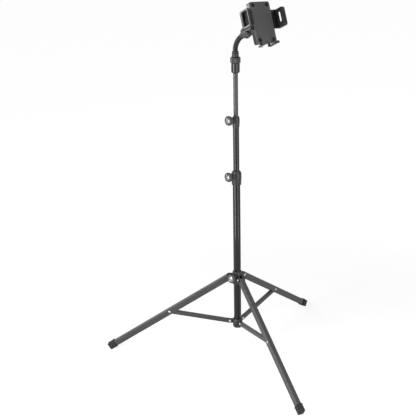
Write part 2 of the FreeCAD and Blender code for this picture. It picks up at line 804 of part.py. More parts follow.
# Glossy sleeve on the top tube, with the threaded spigot that the neck is screwed to
edge = size.sleeve_edge
sleeve_outside = turned("sleeve_outside", (0, size.sleeve_d - 1.6 * edge),
                        (0.35 * edge, size.sleeve_d - 0.6 * edge), (edge, size.sleeve_d),
                        (size.sleeve_length, size.sleeve_d), (size.sleeve_length, size.spigot_d),
                        (size.sleeve_length + size.spigot_length, size.spigot_d))
sleeve_bore = cylinder("sleeve_bore", size.top_tube_d + 2 * size.seat_fit, size.sleeve_seat)
node("neck_sleeve", cut("neck_sleeve", sleeve_outside, sleeve_bore), upright(sleeve_low))

# Ribbed coupling nut: turns on the spigot and holds the neck ferrule down by its flange
sleeve_top = sleeve_low + size.sleeve_length
rib_circle = size.coupling_d / 2 - size.coupling_rib_d / 2
lip_low = size.coupling_length - size.coupling_lip
chamber_low = size.spigot_length - size.air_gap
nut_core = cylinder("coupling_core", 2 * rib_circle, size.coupling_length)
nut_ribs = ring_of("coupling_rib", size.coupling_ribs, size.coupling_rib_d, rib_circle,
                   size.coupling_lip / 2, lip_low)
nut_thread = cylinder("coupling_thread", size.spigot_d + 2 * size.running_fit, size.coupling_length)
nut_chamber = cylinder("coupling_chamber", size.flange_d + 2 * size.air_gap, lip_low - chamber_low,
                       (0, 0, chamber_low))
nut_mouth = cylinder("coupling_mouth", size.ferrule_neck_d + 2 * size.air_gap, size.coupling_lip,
                     (0, 0, lip_low))
node("coupling_nut", cut("coupling_nut", fuse("coupling_solid", nut_core, *nut_ribs), nut_thread,
                         nut_chamber, nut_mouth), upright(sleeve_top + size.air_gap))

# Neck ferrule: its flange lies under the coupling nut's lip, and the neck's tail is crimped in its top
ferrule_low = sleeve_top + size.spigot_length + size.air_gap
ferrule_shoulder = size.coupling_length - size.spigot_length + size.air_gap
ferrule_top = ferrule_shoulder + size.ferrule_length
ferrule_solid = turned("ferrule_solid", (0, size.flange_d), (size.flange_thick, size.flange_d),
                       (size.flange_thick, size.ferrule_neck_d), (ferrule_shoulder, size.ferrule_neck_d),
                       (ferrule_shoulder, size.ferrule_d), (ferrule_top - size.ferrule_edge, size.ferrule_d),
                       (ferrule_top, size.ferrule_d - 2 * size.ferrule_edge))
tail_seat_d = size.neck_groove_d + 2 * size.seat_fit
ferrule_bore = cylinder("ferrule_bore", tail_seat_d, size.neck_tail, (0, 0, ferrule_top - size.neck_tail))
node("neck_ferrule", cut("neck_ferrule", ferrule_solid, ferrule_bore), upright(ferrule_low))


# Flexible neck: stiff plain lengths that meet at ball-shaped links, bent evenly along an arc
link_count = int(number(size.neck_joints))
link_angle = number(size.neck_bend) / link_count
half_link = size.neck_bend_radius * math.tan(math.radians(link_angle / 2))
neck_frame = upright(ferrule_low + ferrule_top, size.neck_turn)
for step in range(link_count + 1):
    first = step == 0
    last = step == link_count
    name = "gooseneck_%d" % (step + 1)
    if first:
        length = size.neck_straight + half_link
    elif last:
        length = half_link
    else:
        length = 2 * half_link
    low = 0 if first else size.neck_seam
    high = length if last else length - size.neck_seam
    parts = [cylinder(name + "_length", size.neck_d, high - low, (0, 0, low))]
    cutters = [cylinder(name + "_bore", size.neck_bore_d, length + 4 * size.neck_tail,
                        (0, 0, -2 * size.neck_tail))]
    if first:
        parts.append(cylinder(name + "_tail", size.neck_groove_d, size.neck_tail, (0, 0, -size.neck_tail)))
    else:
        cutters.append(sphere(name + "_socket", size.neck_ball_d + 2 * size.air_gap))
    if last:
        parts.append(cylinder(name + "_tail", size.neck_groove_d, size.neck_tail, (0, 0, length)))
    else:
        ball = sphere(name + "_ball", size.neck_ball_d, (0, 0, length))
        stalk_low = length - size.neck_seam - size.neck_ball_d / 2
        stalk = cylinder(name + "_stalk", size.neck_ball_d - 2 * size.neck_seam, length - stalk_low,
                         (0, 0, stalk_low))
        parts += [ball, stalk]
    node(name, cut(name, fuse(name + "_solid", *parts), *cutters), neck_frame)
    neck_frame = neck_frame * shifted(0, 0, length)
    if not last:
        neck_frame = neck_frame * tilted(Y_AXIS, link_angle)

# Neck end: a cup with a plastic seat for the ball, closed by a lobed ring nut
cup_frame = neck_frame
cup_rim_at = size.cup_to_ball - size.cup_rim
pocket_low = size.cup_to_ball - size.ball_d / 2 - size.seat_base
cup_solid = turned("cup_solid", (0, size.cup_stem_d), (size.cup_stem, size.cup_stem_d),
                   (size.cup_stem + size.cup_cone, size.cup_d), (cup_rim_at, size.cup_d))
cup_pocket = cylinder("cup_pocket", size.seat_d + 2 * size.running_fit, cup_rim_at - pocket_low,
                      (0, 0, pocket_low))
cup_tail = cylinder("cup_tail_seat", tail_seat_d, size.neck_tail)
node("neck_end_cup", cut("neck_end_cup", cup_solid, cup_pocket, cup_tail), cup_frame)
seat_low = pocket_low + size.running_fit
seat_ring = cylinder("seat_ring", size.seat_d, cup_rim_at - seat_low, (0, 0, seat_low))
seat_hollow = sphere("seat_hollow", size.ball_d + 2 * size.running_fit, (0, 0, size.cup_to_ball))
node("ball_seat", cut("ball_seat", seat_ring, seat_hollow), cup_frame)

cavity_d = size.ball_d + 2 * size.air_gap
nut_back = size.cup_to_ball - size.ball_nut_back
nut_front = size.cup_to_ball + cavity_d / 2 * math.cos(math.radians(number(size.ball_nut_mouth)))
ring_nut = barrel("ring_nut", size.ball_nut_d, nut_front - nut_back, size.ball_nut_edge, nut_back)
ring_thread = cylinder("ring_thread", size.cup_d + 2 * size.running_fit,
                       cup_rim_at + size.running_fit - nut_back, (0, 0, nut_back))
ring_cavity = sphere("ring_cavity", cavity_d, (0, 0, size.cup_to_ball))
ring_scoops = ring_of("ring_scoop", size.ball_nut_scoops, size.ball_nut_scoop_d, size.ball_nut_scoop_at,
                      nut_back, nut_front - nut_back)
node("ball_nut", cut("ball_nut", ring_nut, ring_thread, ring_cavity, *ring_scoops), cup_frame)

# Holder frame: X across the phone, Y up along it, Z out of the front plate, origin on the plate's face
ball_centre = cup_frame.multVec(vector(0, 0, size.cup_to_ball))
lean = Rotation(Z_AXIS, number(size.holder_turn)) * Rotation(Y_AXIS, -number(size.holder_tilt))
lean = lean * Rotation(X_AXIS, number(size.holder_roll)) * Rotation(Vector(1, 1, 1), 120)
holder = Placement(ball_centre + lean.multVec(vector(0, 0, size.ball_to_plate)), lean)

# Levels through the housing, from the front plate's face backwards
shell_back = -size.plate_thick - size.shell_depth
floor_level = shell_back + size.shell_floor
boss_end = shell_back - size.shell_boss
bore_end = boss_end + size.swivel_bore
head_seat = bore_end + size.swivel_web

# Ball stud with the screw that keeps the housing on its spigot
disc_level = boss_end - size.air_gap
flare_end = disc_level - size.stud_disc
flare_start = flare_end - size.stud_flare
spigot_end = bore_end - size.air_gap
stud_body = turned("stud_body", (-size.ball_to_plate, size.stud_neck_d), (flare_start, size.stud_neck_d),
                   (flare_end, size.stud_flare_d), (disc_level, size.stud_flare_d),
                   (disc_level, size.swivel_d), (spigot_end, size.swivel_d))
stud_ball = sphere("stud_ball", size.ball_d, (0, 0, -size.ball_to_plate))
head_low = head_seat + 2 * size.running_fit
screw_low = head_low - size.swivel_screw_length
stud_thread = cylinder("stud_thread", size.swivel_screw_d + 2 * size.seat_fit,
                       spigot_end - screw_low + size.air_gap, (0, 0, screw_low - size.air_gap))
node("ball_stud", cut("ball_stud", fuse("stud_solid", stud_body, stud_ball), stud_thread), holder)
node("swivel_screw", turned("swivel_screw", (screw_low, size.swivel_screw_d), (head_low, size.swivel_screw_d),
                            (head_low, size.swivel_head_d), (head_low + size.swivel_head, size.swivel_head_d)),
     holder)

# Places shared by the front plate, its screws, its rubber discs and the housing's posts
half_width = size.plate_width / 2
half_height = size.plate_height / 2
CORNERS = [(across * size.post_across, along * size.post_along) for across in (-1, 1) for along in (-1, 1)]
pinion_low = floor_level + size.pinion_seat + size.air_gap
pinion_top = pinion_low + size.pinion_thick


def at_corners(name, diameter, low, high):
    pieces = []
    for corner, (x, y) in enumerate(CORNERS):
        pieces.append(cylinder("%s_%d" % (name, corner), diameter, high - low, (x, y, low)))
    return pieces


# Front plate with rounded front edge, a notch below and four countersunk screw places
plate_block = rounded_block("plate_block", (-half_width, half_width), (-half_height, half_height),
                            (-size.plate_thick, 0), size.plate_corner)
plate_smooth = rounded("plate_smooth", plate_block, size.plate_edge, lambda edge: lies_at(edge, "z", 0))
pinion_stop = cylinder("pinion_stop", size.pinion_stop_d, -size.plate_thick - pinion_top - size.air_gap,
                       (0, size.arm_centre, pinion_top + size.air_gap))
head_top = -size.disc_sunk
head_floor = head_top - size.case_screw_head
notch = box("plate_notch", (-size.notch_width / 2, size.notch_width / 2),
            (-half_height, size.notch_depth - half_height), (-size.plate_thick, 0))
plate_cutters = at_corners("disc_seat", size.disc_d + 2 * size.seat_fit, -size.disc_sunk, 0)
plate_cutters += at_corners("head_seat", size.case_screw_head_d + 2 * size.running_fit, head_floor, 0)
plate_cutters += at_corners("plate_hole", size.case_screw_d + 2 * size.air_gap, -size.plate_thick, 0)
node("front_plate", cut("front_plate", fuse("plate_solid", plate_smooth, pinion_stop), notch,
                        *plate_cutters), holder)
node("plate_discs", fuse("plate_discs", *at_corners("disc", size.disc_d, -size.disc_sunk, size.disc_stand)),
     holder)
screw_bottom = head_floor - size.case_screw_length
node("case_screws", fuse("case_screws", *at_corners("case_head", size.case_screw_head_d, head_floor, head_top),
                         *at_corners("case_shank", size.case_screw_d, screw_bottom, head_floor)), holder)

# Back shell: a shallow tray with a swivel boss behind, screw posts and a pin for the pinion
shell_block = rounded_block("shell_block", (-half_width, half_width), (-half_height, half_height),
                            (shell_back, -size.plate_thick), size.plate_corner)
shell_smooth = rounded("shell_smooth", shell_block, size.shell_edge,
                       lambda edge: lies_at(edge, "z", shell_back))
inner_x = half_width - size.shell_wall
inner_y = half_height - size.shell_wall
cavity = rounded_block("shell_cavity", (-inner_x, inner_x), (-inner_y, inner_y),
                       (floor_level, -size.plate_thick), size.plate_corner - size.shell_wall)
tray = cut("shell_tray", shell_smooth, cavity)
swivel_boss = cylinder("swivel_boss", size.shell_boss_d, size.shell_boss, (0, 0, boss_end))
pinion_seat = cylinder("pinion_seat", size.pinion_seat_d, size.pinion_seat,
                       (0, size.arm_centre, floor_level))
pinion_pin = cylinder("pinion_pin", size.pinion_bore_d - 2 * size.running_fit, pinion_top - floor_level,
                      (0, size.arm_centre, floor_level))
posts = at_corners("post", size.post_d, floor_level, -size.plate_thick)
shell_solid = fuse("shell_solid", tray, swivel_boss, pinion_seat, pinion_pin, *posts)

arm_low = size.arm_centre - size.arm_height / 2
arm_high = size.arm_centre + size.arm_height / 2
arm_back = -size.arm_front - size.arm_thick
stem_low = floor_level + size.rest_stem_lift
stem_high = stem_low + size.rest_stem_thick
stem_half = size.rest_stem_width / 2
shell_cutters = [
    cylinder("swivel_bore", size.swivel_d + 2 * size.running_fit, size.swivel_bore, (0, 0, boss_end)),
    cylinder("swivel_hole", size.swivel_screw_d + 2 * size.air_gap, size.swivel_web, (0, 0, bore_end)),
    cylinder("swivel_recess", size.swivel_head_d + 2 * size.air_gap, floor_level - head_seat,
             (0, 0, head_seat)),
    cylinder("button_hole", size.button_d + 2 * size.air_gap, size.shell_floor,
             (0, size.button_at, shell_back)),
    box("arm_slots", (-half_width, half_width), (arm_low - size.air_gap, arm_high + size.air_gap),
        (arm_back - size.air_gap, -size.plate_thick)),
]
for side in (-1, 1):
    centre = side * size.rest_stem_across
    shell_cutters.append(box("stem_slot_%d" % side,
                             (centre - stem_half - size.air_gap, centre + stem_half + size.air_gap),
                             (-half_height, -inner_y), (stem_low - size.air_gap, stem_high + size.air_gap)))
shell_cutters += at_corners("post_hole", size.case_screw_d + 2 * size.seat_fit,
                            screw_bottom - size.air_gap, -size.plate_thick)
node("back_shell", cut("back_shell", shell_solid, *shell_cutters), holder)


# Ranges across the holder, for its right side and mirrored for its left
def on_side(side, near, far):
    return (near, far) if side > 0 else (-far, -near)


# Sliding arm: a flat plate in the housing's side slot, a rack bar below it and an upright jaw
def arm(name, side):
    plate_x = on_side(side, size.arm_inner, size.jaw_inner)
    jaw_x = on_side(side, size.jaw_inner, size.jaw_inner + size.jaw_thick)
    slide = box(name + "_slide", plate_x, (arm_low, arm_high), (arm_back, -size.arm_front))
    jaw = rounded_block(name + "_jaw", (-size.jaw_reach, size.jaw_back), (arm_low, arm_high), jaw_x,
                        size.jaw_corner)
    jaw.Placement = Placement(Vector(), ALONG_X)
    lip = box(name + "_lip", on_side(side, size.jaw_inner - size.jaw_lip, size.jaw_inner + size.jaw_lip),
              (arm_low + size.jaw_corner, arm_high - size.jaw_corner),
              (size.jaw_reach - size.jaw_lip_thick, size.jaw_reach))
    rack_low = arm_back - size.rack_thick
    tooth_root = size.tooth_module * size.pinion_teeth / 2 + size.tooth_height / 2
    bar_y = on_side(-side, tooth_root, tooth_root + size.rack_height)
    bar_y = (size.arm_centre + bar_y[0], size.arm_centre + bar_y[1])
    bar = box(name + "_bar", on_side(side, -size.rack_reach, size.rack_outer), bar_y,
              (rack_low, arm_back - size.air_gap))
    root = box(name + "_bar_root", on_side(side, size.arm_inner, size.rack_outer), bar_y,
               (rack_low, arm_back))
    teeth = []
    tooth_y = on_side(-side, tooth_root - size.tooth_height, tooth_root + size.tooth_height / 2)
    tooth_y = (size.arm_centre + tooth_y[0], size.arm_centre + tooth_y[1])
    for tooth in range(int(number(size.rack_teeth))):
        centre = side * (tooth - 1.5) * math.pi * size.tooth_module
        tooth_x = (centre - size.tooth_width / 2, centre + size.tooth_width / 2)
        teeth.append(box("%s_tooth_%d" % (name, tooth), tooth_x, tooth_y,
                         (rack_low, arm_back - size.air_gap)))
    solid = fuse(name + "_solid", slide, jaw, lip, bar, root, *teeth)
    return node(name, cut(name, solid, jaw_window(name, side)), holder)


def jaw_window(name, side):
    reach = on_side(side, size.jaw_inner - size.jaw_lip, size.jaw_inner + 2 * size.jaw_thick)
    window = rounded_block(name + "_window", (-size.window_front, size.window_back),
                           (size.arm_centre - size.window_low, size.arm_centre + size.window_high), reach,
                           size.window_corner)
    window.Placement = Placement(Vector(), ALONG_X)
    return window


# Soft pad on the jaw's inner face, open at the window, with upright ribs beside the lip
def pad(name, side):
    inner = size.jaw_inner - size.pad_thick
    front = size.jaw_reach - size.jaw_lip_thick - size.air_gap
    low = arm_low + size.pad_margin
    high = arm_high - size.pad_margin
    sheet_block = rounded_block(name + "_sheet", (-front, size.arm_front - size.air_gap), (low, high),
                                on_side(side, inner, size.jaw_inner), size.pad_corner)
    sheet_block.Placement = Placement(Vector(), ALONG_X)
    ribs = []
    for rib in range(int(number(size.pad_ribs))):
        level = front - (2 * rib + 2) * size.pad_rib
        ribs.append(box("%s_rib_%d" % (name, rib), on_side(side, inner - size.pad_rib, inner),
                        (low + size.pad_corner, high - size.pad_corner), (level, level + size.pad_rib)))
    solid = fuse(name + "_solid", sheet_block, *ribs)
    return node(name, cut(name, solid, jaw_window(name, side)), holder)


for name, side in (("left", -1), ("right", 1)):
    arm(name + "_arm", side)
    pad(name + "_pad", side)

# Pinion between the two racks
pitch_radius = size.tooth_module * size.pinion_teeth / 2
tip_radius = pitch_radius + size.tooth_height / 2 - size.tooth_clear
root_radius = pitch_radius - size.tooth_height / 2 - size.tooth_clear
wheel = [cylinder("pinion_wheel", 2 * root_radius, size.pinion_thick, (0, 0, pinion_low))]
for tooth in range(int(number(size.pinion_teeth))):
    spoke = box("pinion_tooth_%d" % tooth, (root_radius / 2, tip_radius),
                (-size.tooth_width / 2, size.tooth_width / 2), (pinion_low, pinion_top))
    wheel.append(moved(spoke, tilted(Z_AXIS, 360 * tooth / number(size.pinion_teeth))))
pinion_bore = cylinder("pinion_bore", size.pinion_bore_d, size.pinion_thick, (0, 0, pinion_low))
node("pinion", cut("pinion", fuse("pinion_solid", *wheel), pinion_bore),
     holder * shifted(0, size.arm_centre, 0))

# Release button: pushed from behind, kept in by its flange
button_end = shell_back - size.button_stand
flange_low = floor_level + size.air_gap
button = turned("release_button", (button_end, size.button_d), (flange_low, size.button_d),
                (flange_low, size.button_flange_d), (flange_low + size.button_flange, size.button_flange_d))
node("release_button", button, holder * shifted(0, size.button_at, 0))

# Drop-down rest: two stems in the housing joined by a bar, and two hooks in front of the plate
rest_level = -half_height - size.rest_drop
rest_y = (rest_level - size.rest_thick, rest_level)
rest_parts = [box("rest_bar", (-size.rest_stem_across, size.rest_stem_across),
                  (-size.rest_stem_top - size.rest_bar, -size.rest_stem_top), (stem_low, stem_high))]
for side in (-1, 1):
    stem_x = on_side(side, size.rest_stem_across - stem_half, size.rest_stem_across + stem_half)
    hook_outer = size.rest_across + size.rest_width / 2
    hook_x = on_side(side, size.rest_across - size.rest_width / 2, hook_outer)
    foot_x = on_side(side, size.rest_stem_across - stem_half, hook_outer)
    rest_parts += [
        box("rest_stem_%d" % side, stem_x, (rest_y[0], -size.rest_stem_top), (stem_low, stem_high)),
        box("rest_foot_%d" % side, foot_x, rest_y, (-size.rest_back, size.rest_foot - size.rest_back)),
        box("rest_hook_%d" % side, hook_x, rest_y, (-size.rest_back, size.rest_reach)),
        box("rest_lip_%d" % side, hook_x, (rest_y[0], rest_level + size.rest_lip),
            (size.rest_reach - size.rest_lip_thick, size.rest_reach)),
    ]
node("phone_rest", fuse("phone_rest", *rest_parts), holder)

# Everything is computed and checked before any file is written
doc.recompute()
for item in doc.Objects:
    if "Invalid" in item.State or "Error" in item.State:
        raise RuntimeError("%s failed: %s" % (item.Name, item.State))
for piece in nodes:
    if piece.Shape.isNull() or not piece.Shape.isValid() or not piece.Shape.Solids:
        raise RuntimeError("%s has no valid solid" % piece.Label)

# Numbers for the record: the fold's travel and the frames of the moving pieces, in millimetres
lift = math.sqrt(number(brace_length) ** 2 - number(size.hub_pivot_reach - size.collar_pivot_reach) ** 2)
fold_travel = number(collar_pivot_height) + lift + number(size.leg_rivet_at) - number(hub_pivot_height)
print("fold travel %.3f, brace %.3f at %.3f" % (fold_travel, number(brace_length), brace_slope))
print("folded brace lean %.3f" % math.degrees(math.atan2(
    number(size.hub_pivot_reach - size.collar_pivot_reach), lift)))
print("neck end", cup_frame.Base, cup_frame.Rotation.multVec(Z_AXIS))
print("ball", ball_centre)
print("holder", holder.Base, [lean.multVec(axis) for axis in (X_AXIS, Y_AXIS, Z_AXIS)])

os.makedirs("parts", exist_ok=True)
for piece in nodes:
    piece.Shape.exportStep("parts/%s.step" % piece.Label)
    bounds = piece.Shape.BoundBox
    print("%-22s %2d solids %10.1f mm3  x %7.1f %7.1f  y %7.1f %7.1f  z %7.1f %7.1f" % (
        piece.Label, len(piece.Shape.Solids), piece.Shape.Volume, bounds.XMin, bounds.XMax, bounds.YMin,
        bounds.YMax, bounds.ZMin, bounds.ZMax))
print("%d nodes" % len(nodes))
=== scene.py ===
import math

import bmesh
import bpy
from mathutils import Matrix, Vector


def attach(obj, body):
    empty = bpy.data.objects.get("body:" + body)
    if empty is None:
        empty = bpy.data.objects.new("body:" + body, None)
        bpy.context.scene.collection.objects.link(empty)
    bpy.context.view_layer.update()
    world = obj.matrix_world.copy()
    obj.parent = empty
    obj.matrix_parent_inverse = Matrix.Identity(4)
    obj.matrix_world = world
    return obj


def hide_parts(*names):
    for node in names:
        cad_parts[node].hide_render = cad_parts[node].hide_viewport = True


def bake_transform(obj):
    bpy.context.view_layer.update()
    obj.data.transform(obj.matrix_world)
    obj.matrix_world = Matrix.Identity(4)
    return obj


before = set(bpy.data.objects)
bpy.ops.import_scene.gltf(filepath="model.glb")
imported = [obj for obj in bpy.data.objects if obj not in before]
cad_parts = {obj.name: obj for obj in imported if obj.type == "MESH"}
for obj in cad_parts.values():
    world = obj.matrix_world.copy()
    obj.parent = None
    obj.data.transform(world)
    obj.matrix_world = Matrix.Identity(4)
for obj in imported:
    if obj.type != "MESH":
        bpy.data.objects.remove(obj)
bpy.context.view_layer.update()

# Camera: it stands in front of the stand and a little above it, with a long lens, as in the
# photograph, looks down by 20 degrees and is turned about its own axis by one.
scene = bpy.context.scene
scene.view_settings.view_transform = "Standard"
look_down = math.radians(20.28)
camera_roll = math.radians(-1.11)
aim_height, aim_left, camera_away = 0.4271, 0.0755, 2.6432
side_axis = Vector((1, 0, 0))
back_axis = Vector((0, -math.cos(look_down), math.sin(look_down)))
top_axis = Vector((0, math.sin(look_down), math.cos(look_down)))
picture_right = side_axis * math.cos(camera_roll) + top_axis * math.sin(camera_roll)
picture_up = top_axis * math.cos(camera_roll) - side_axis * math.sin(camera_roll)
camera_data = bpy.data.cameras.new("camera")
camera_data.sensor_width = 36
camera_data.lens = 86.94
camera = bpy.data.objects.new("camera", camera_data)
camera.matrix_world = Matrix((picture_right, picture_up, back_axis)).transposed().to_4x4()
camera.location = Vector((0, 0, aim_height)) + back_axis * camera_away - picture_right * aim_left
scene.collection.objects.link(camera)
scene.camera = camera


# Floor and light: a plain white floor that shows as white and keeps a faint shadow, two upright
# soft boxes in front, a shorter one high behind on the left and a soft light above.
class Wire:
    """One output of a material's node. Arithmetic on it adds Math nodes."""

    def __init__(self, tree, socket):
        self.tree = tree
        self.socket = socket

    def node(self, kind, inputs, output=0, **settings):
        """Adds a node, makes its settings, and then links its sockets or gives them values."""
        made = self.tree.nodes.new(kind)
        for name, value in settings.items():
            setattr(made, name, value)
        for name, value in inputs.items():
            if isinstance(value, Wire):
                self.tree.links.new(value.socket, made.inputs[name])
            else:
                made.inputs[name].default_value = value
        return Wire(self.tree, made.outputs[output])

    def maths(self, operation, other):
        return self.node("ShaderNodeMath", {0: self, 1: other}, operation=operation)

    def __add__(self, other):
        return self.maths("ADD", other)

    def __mul__(self, other):
        return self.maths("MULTIPLY", other)

    def __gt__(self, other):
        return self.maths("GREATER_THAN", other)

    __radd__ = __add__
    __rmul__ = __mul__


def paint(name, colour, roughness, **constants):
    """A material with constants on its shader's sockets, the shader, and the place on a piece."""
    material = bpy.data.materials.new(name)
    material.use_nodes = True
    tree = material.node_tree
    shader = tree.nodes["Principled BSDF"]
    shader.inputs["Base Color"].default_value = (*colour, 1)
    shader.inputs["Roughness"].default_value = roughness
    for socket, value in constants.items():
        shader.inputs[socket.replace("_", " ")].default_value = value
    place = Wire(tree, tree.nodes.new("ShaderNodeTexCoord").outputs["Object"])
    return material, shader, place


def feed(shader, socket, wire):
    wire.tree.links.new(wire.socket, shader.inputs[socket])


def mixed(mask, first, second):
    """The first colour where the mask is 0, the second where it is 1."""
    colours = {socket: colour if isinstance(colour, Wire) else (*colour, 1)
               for socket, colour in ((6, first), (7, second))}
    return mask.node("ShaderNodeMix", {0: mask, **colours}, output=2, data_type="RGBA")


def seen_rays(tree):
    """1 on the rays that see the background as white: the camera's, glossy and clear ones."""
    outputs = tree.nodes.new("ShaderNodeLightPath").outputs
    direct, glossy, through = (Wire(tree, outputs["Is %s Ray" % kind])
                               for kind in ("Camera", "Glossy", "Transmission"))
    return direct.maths("MAXIMUM", glossy.maths("MAXIMUM", through))


floor_paint, floor_shader, floor_place = paint(
    "white_floor", (0.34, 0.34, 0.34), 1, Specular_IOR_Level=0, Emission_Strength=1)
from_mast = floor_place.node("ShaderNodeVectorMath", {0: floor_place}, output=1,
                             operation="LENGTH")
far_off = from_mast.node("ShaderNodeMapRange", {0: from_mast, 1: 0.4, 2: 1.5},
                         interpolation_type="SMOOTHSTEP")
floor_white = mixed(far_off, (0.76, 0.76, 0.76), (0.92, 0.92, 0.92))
feed(floor_shader, "Emission Color",
     mixed(seen_rays(floor_paint.node_tree), (0, 0, 0), floor_white))
floor_bm = bmesh.new()
bmesh.ops.create_grid(floor_bm, x_segments=2, y_segments=2, size=14)
floor_mesh = bpy.data.meshes.new("floor")
floor_bm.to_mesh(floor_mesh)
floor_bm.free()
floor_mesh.materials.append(floor_paint)
floor = bpy.data.objects.new("floor", floor_mesh)
scene.collection.objects.link(floor)

world = bpy.data.worlds.new("studio")
world.use_nodes = True
scene.world = world
feed(world.node_tree.nodes["Background"], "Color",
     mixed(seen_rays(world.node_tree), (0.18, 0.18, 0.18), (1, 1, 1)))


def soft_box(name, place, aim, width, height, power):
    """A rectangular lamp, its places and sides in metres and its power in watts."""
    lamp = bpy.data.lights.new(name, "AREA")
    lamp.shape = "RECTANGLE"
    lamp.size = width
    lamp.size_y = height
    lamp.energy = power
    box = bpy.data.objects.new(name, lamp)
    box.location = place
    box.rotation_euler = (Vector(aim) - Vector(place)).to_track_quat("-Z", "Y").to_euler()
    box.visible_camera = False
    scene.collection.objects.link(box)


soft_box("left_box", (-0.79, -0.66, 0.66), (0, 0, 0.66), 0.40, 1.32, 19)
soft_box("right_box", (0.62, -0.79, 0.66), (0, 0, 0.66), 0.25, 1.32, 8.5)
soft_box("rear_box", (-1.45, 0.62, 1.19), (0, 0, 1.19), 0.50, 0.90, 8.5)
soft_box("top_box", (0.1, -0.3, 2.7), (0, 0, 0.5), 1.6, 1.6, 5)

# Main tube: drawn steel of 20 mm, stove-enamelled in gloss black, its rims rounded over. The
# lower clamp is pressed on its top and the plug in its foot.
MM = 0.001


def lathe(bm, outline, steps=64):
    """Spins an outline of (radius, height) about Z.

    The outline is closed unless both its ends are on the axis.
    """
    corners = [bm.verts.new((radius, 0, height)) for radius, height in outline]
    pairs = list(zip(corners, corners[1:]))
    if outline[0][0] or outline[-1][0]:
        pairs.append((corners[-1], corners[0]))
    edges = [bm.edges.new(pair) for pair in pairs]
    before = set(bm.verts) - set(corners)
    bmesh.ops.spin(bm, geom=corners + edges, cent=(0, 0, 0), axis=(0, 0, 1), angle=2 * math.pi,
                   steps=steps, use_merge=True, dvec=(0, 0, 0))
    made = [v for v in bm.verts if v not in before]
    bmesh.ops.remove_doubles(bm, verts=made, dist=0.0005)


def round_over(bm, edges, radius, segments=6):
    bmesh.ops.bevel(bm, geom=edges, offset=radius, offset_type="OFFSET", segments=segments,
                    profile=0.5, affect="EDGES", material=-1, clamp_overlap=True)


def soften(bm, width, segments=2, least=30):
    """Rounds every edge that is sharper than least degrees."""
    sharp = [e for e in bm.edges if e.is_manifold and e.calc_face_angle(0) > math.radians(least)]
    round_over(bm, sharp, width, segments)


def set_in(bm, name, body, finish, place=None, stands_for=(), crease=35):
    """Lays a piece drawn in millimetres in its place and hangs it on its body.

    Its shading is smooth, but for edges that are sharper than crease degrees.
    """
    bmesh.ops.remove_doubles(bm, verts=bm.verts, dist=0.0005)
    bmesh.ops.recalc_face_normals(bm, faces=bm.faces)
    bm.transform(Matrix.Scale(MM, 4) @ (place or Matrix()))
    mesh = bpy.data.meshes.new(name)
    bm.to_mesh(mesh)
    bm.free()
    mesh.shade_smooth()
    mesh.set_sharp_from_angle(angle=math.radians(crease))
    mesh.materials.append(finish)
    piece = bpy.data.objects.new(name, mesh)
    scene.collection.objects.link(piece)
    if body:
        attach(piece, body)
    if stands_for:
        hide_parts(*stands_for)
    return piece


def clouds(place, scale, stretch=(1, 1, 1), detail=2.0):
    laid = place.node("ShaderNodeMapping", {"Vector": place, "Scale": stretch})
    return laid.node("ShaderNodeTexNoise", {"Vector": laid, "Scale": scale, "Detail": detail})


def bumped(height, distance, strength=1.0):
    return height.node("ShaderNodeBump",
                       {"Strength": strength, "Distance": distance, "Height": height})


gloss_enamel, enamel_shader, enamel_place = paint(
    "gloss_enamel", (0.012, 0.012, 0.013), 0.2, Specular_IOR_Level=0.27)
drawn_lines = clouds(enamel_place, 1.0, (900, 900, 9))
orange_peel = clouds(enamel_place, 620, detail=1.0)
handled = clouds(enamel_place, 26)
feed(enamel_shader, "Base Color",
     mixed(drawn_lines, (0.005, 0.005, 0.006), (0.014, 0.014, 0.015)))
feed(enamel_shader, "Roughness", 0.06 + handled * 0.07 + drawn_lines * 0.03)
feed(enamel_shader, "Normal", bumped(orange_peel, 0.00001, 0.3))


def drawn_tube(name, body, finish, radius, wall, low, high, node):
    bm = bmesh.new()
    inner = radius - wall
    lathe(bm, [(inner, low), (radius, low), (radius, high), (inner, high)], 96)
    soften(bm, 0.45, 3)
    set_in(bm, name, body, finish, stands_for=[node])


drawn_tube("steel_main_tube", "mast", gloss_enamel,
           radius=10, wall=1.5, low=83, high=507, node="main_tube")

# Plug in the main tube's foot: black plastic, its head as wide as the tube, with a moulded dimple
# underneath. It is pushed in and closes the tube.
moulded_black, moulded_shader, moulded_place = paint(
    "moulded_black", (0.03, 0.03, 0.031), 0.5, Specular_IOR_Level=0.3)
spark_grain = clouds(moulded_place, 1500, detail=3.0)
flow_marks = clouds(moulded_place, 45, (1, 1, 0.4))
feed(moulded_shader, "Base Color",
     mixed(flow_marks, (0.016, 0.016, 0.017), (0.032, 0.032, 0.033)))
feed(moulded_shader, "Roughness", 0.24 + spark_grain * 0.12 + flow_marks * 0.08)
feed(moulded_shader, "Normal", bumped(spark_grain, 0.00006, 0.6))
plug_bm = bmesh.new()
lathe(plug_bm, [(0, 82), (4, 82), (5, 81), (10, 81), (10, 83), (8.48, 83), (8.48, 93), (0, 93)])
soften(plug_bm, 0.4)
set_in(plug_bm, "foot_plug", "mast", moulded_black,
       stands_for=["main_tube_plug"])


# Lower collar: a moulded black ring fixed near the main tube's foot, with three lugs that the
# braces are riveted to. Each lug is rounded about its rivet.
def block(bm, low, high):
    made = bmesh.ops.create_cube(bm, size=1)["verts"]
    low, high = Vector(low), Vector(high)
    bmesh.ops.scale(bm, vec=high - low, verts=made)
    bmesh.ops.translate(bm, vec=(low + high) / 2, verts=made)
    return made


def edges_of(verts, axis, test=lambda middle: True):
    """Edges of a block that run along an axis and whose middle passes a test."""
    inside = set(verts)
    found = {}
    for vert in verts:
        for edge in vert.link_edges:
            run = edge.verts[1].co - edge.verts[0].co
            if edge.other_vert(vert) in inside and abs(run[axis]) > 0.999 * run.length:
                if test((edge.verts[0].co + edge.verts[1].co) / 2):
                    found[edge] = True
    return list(found)


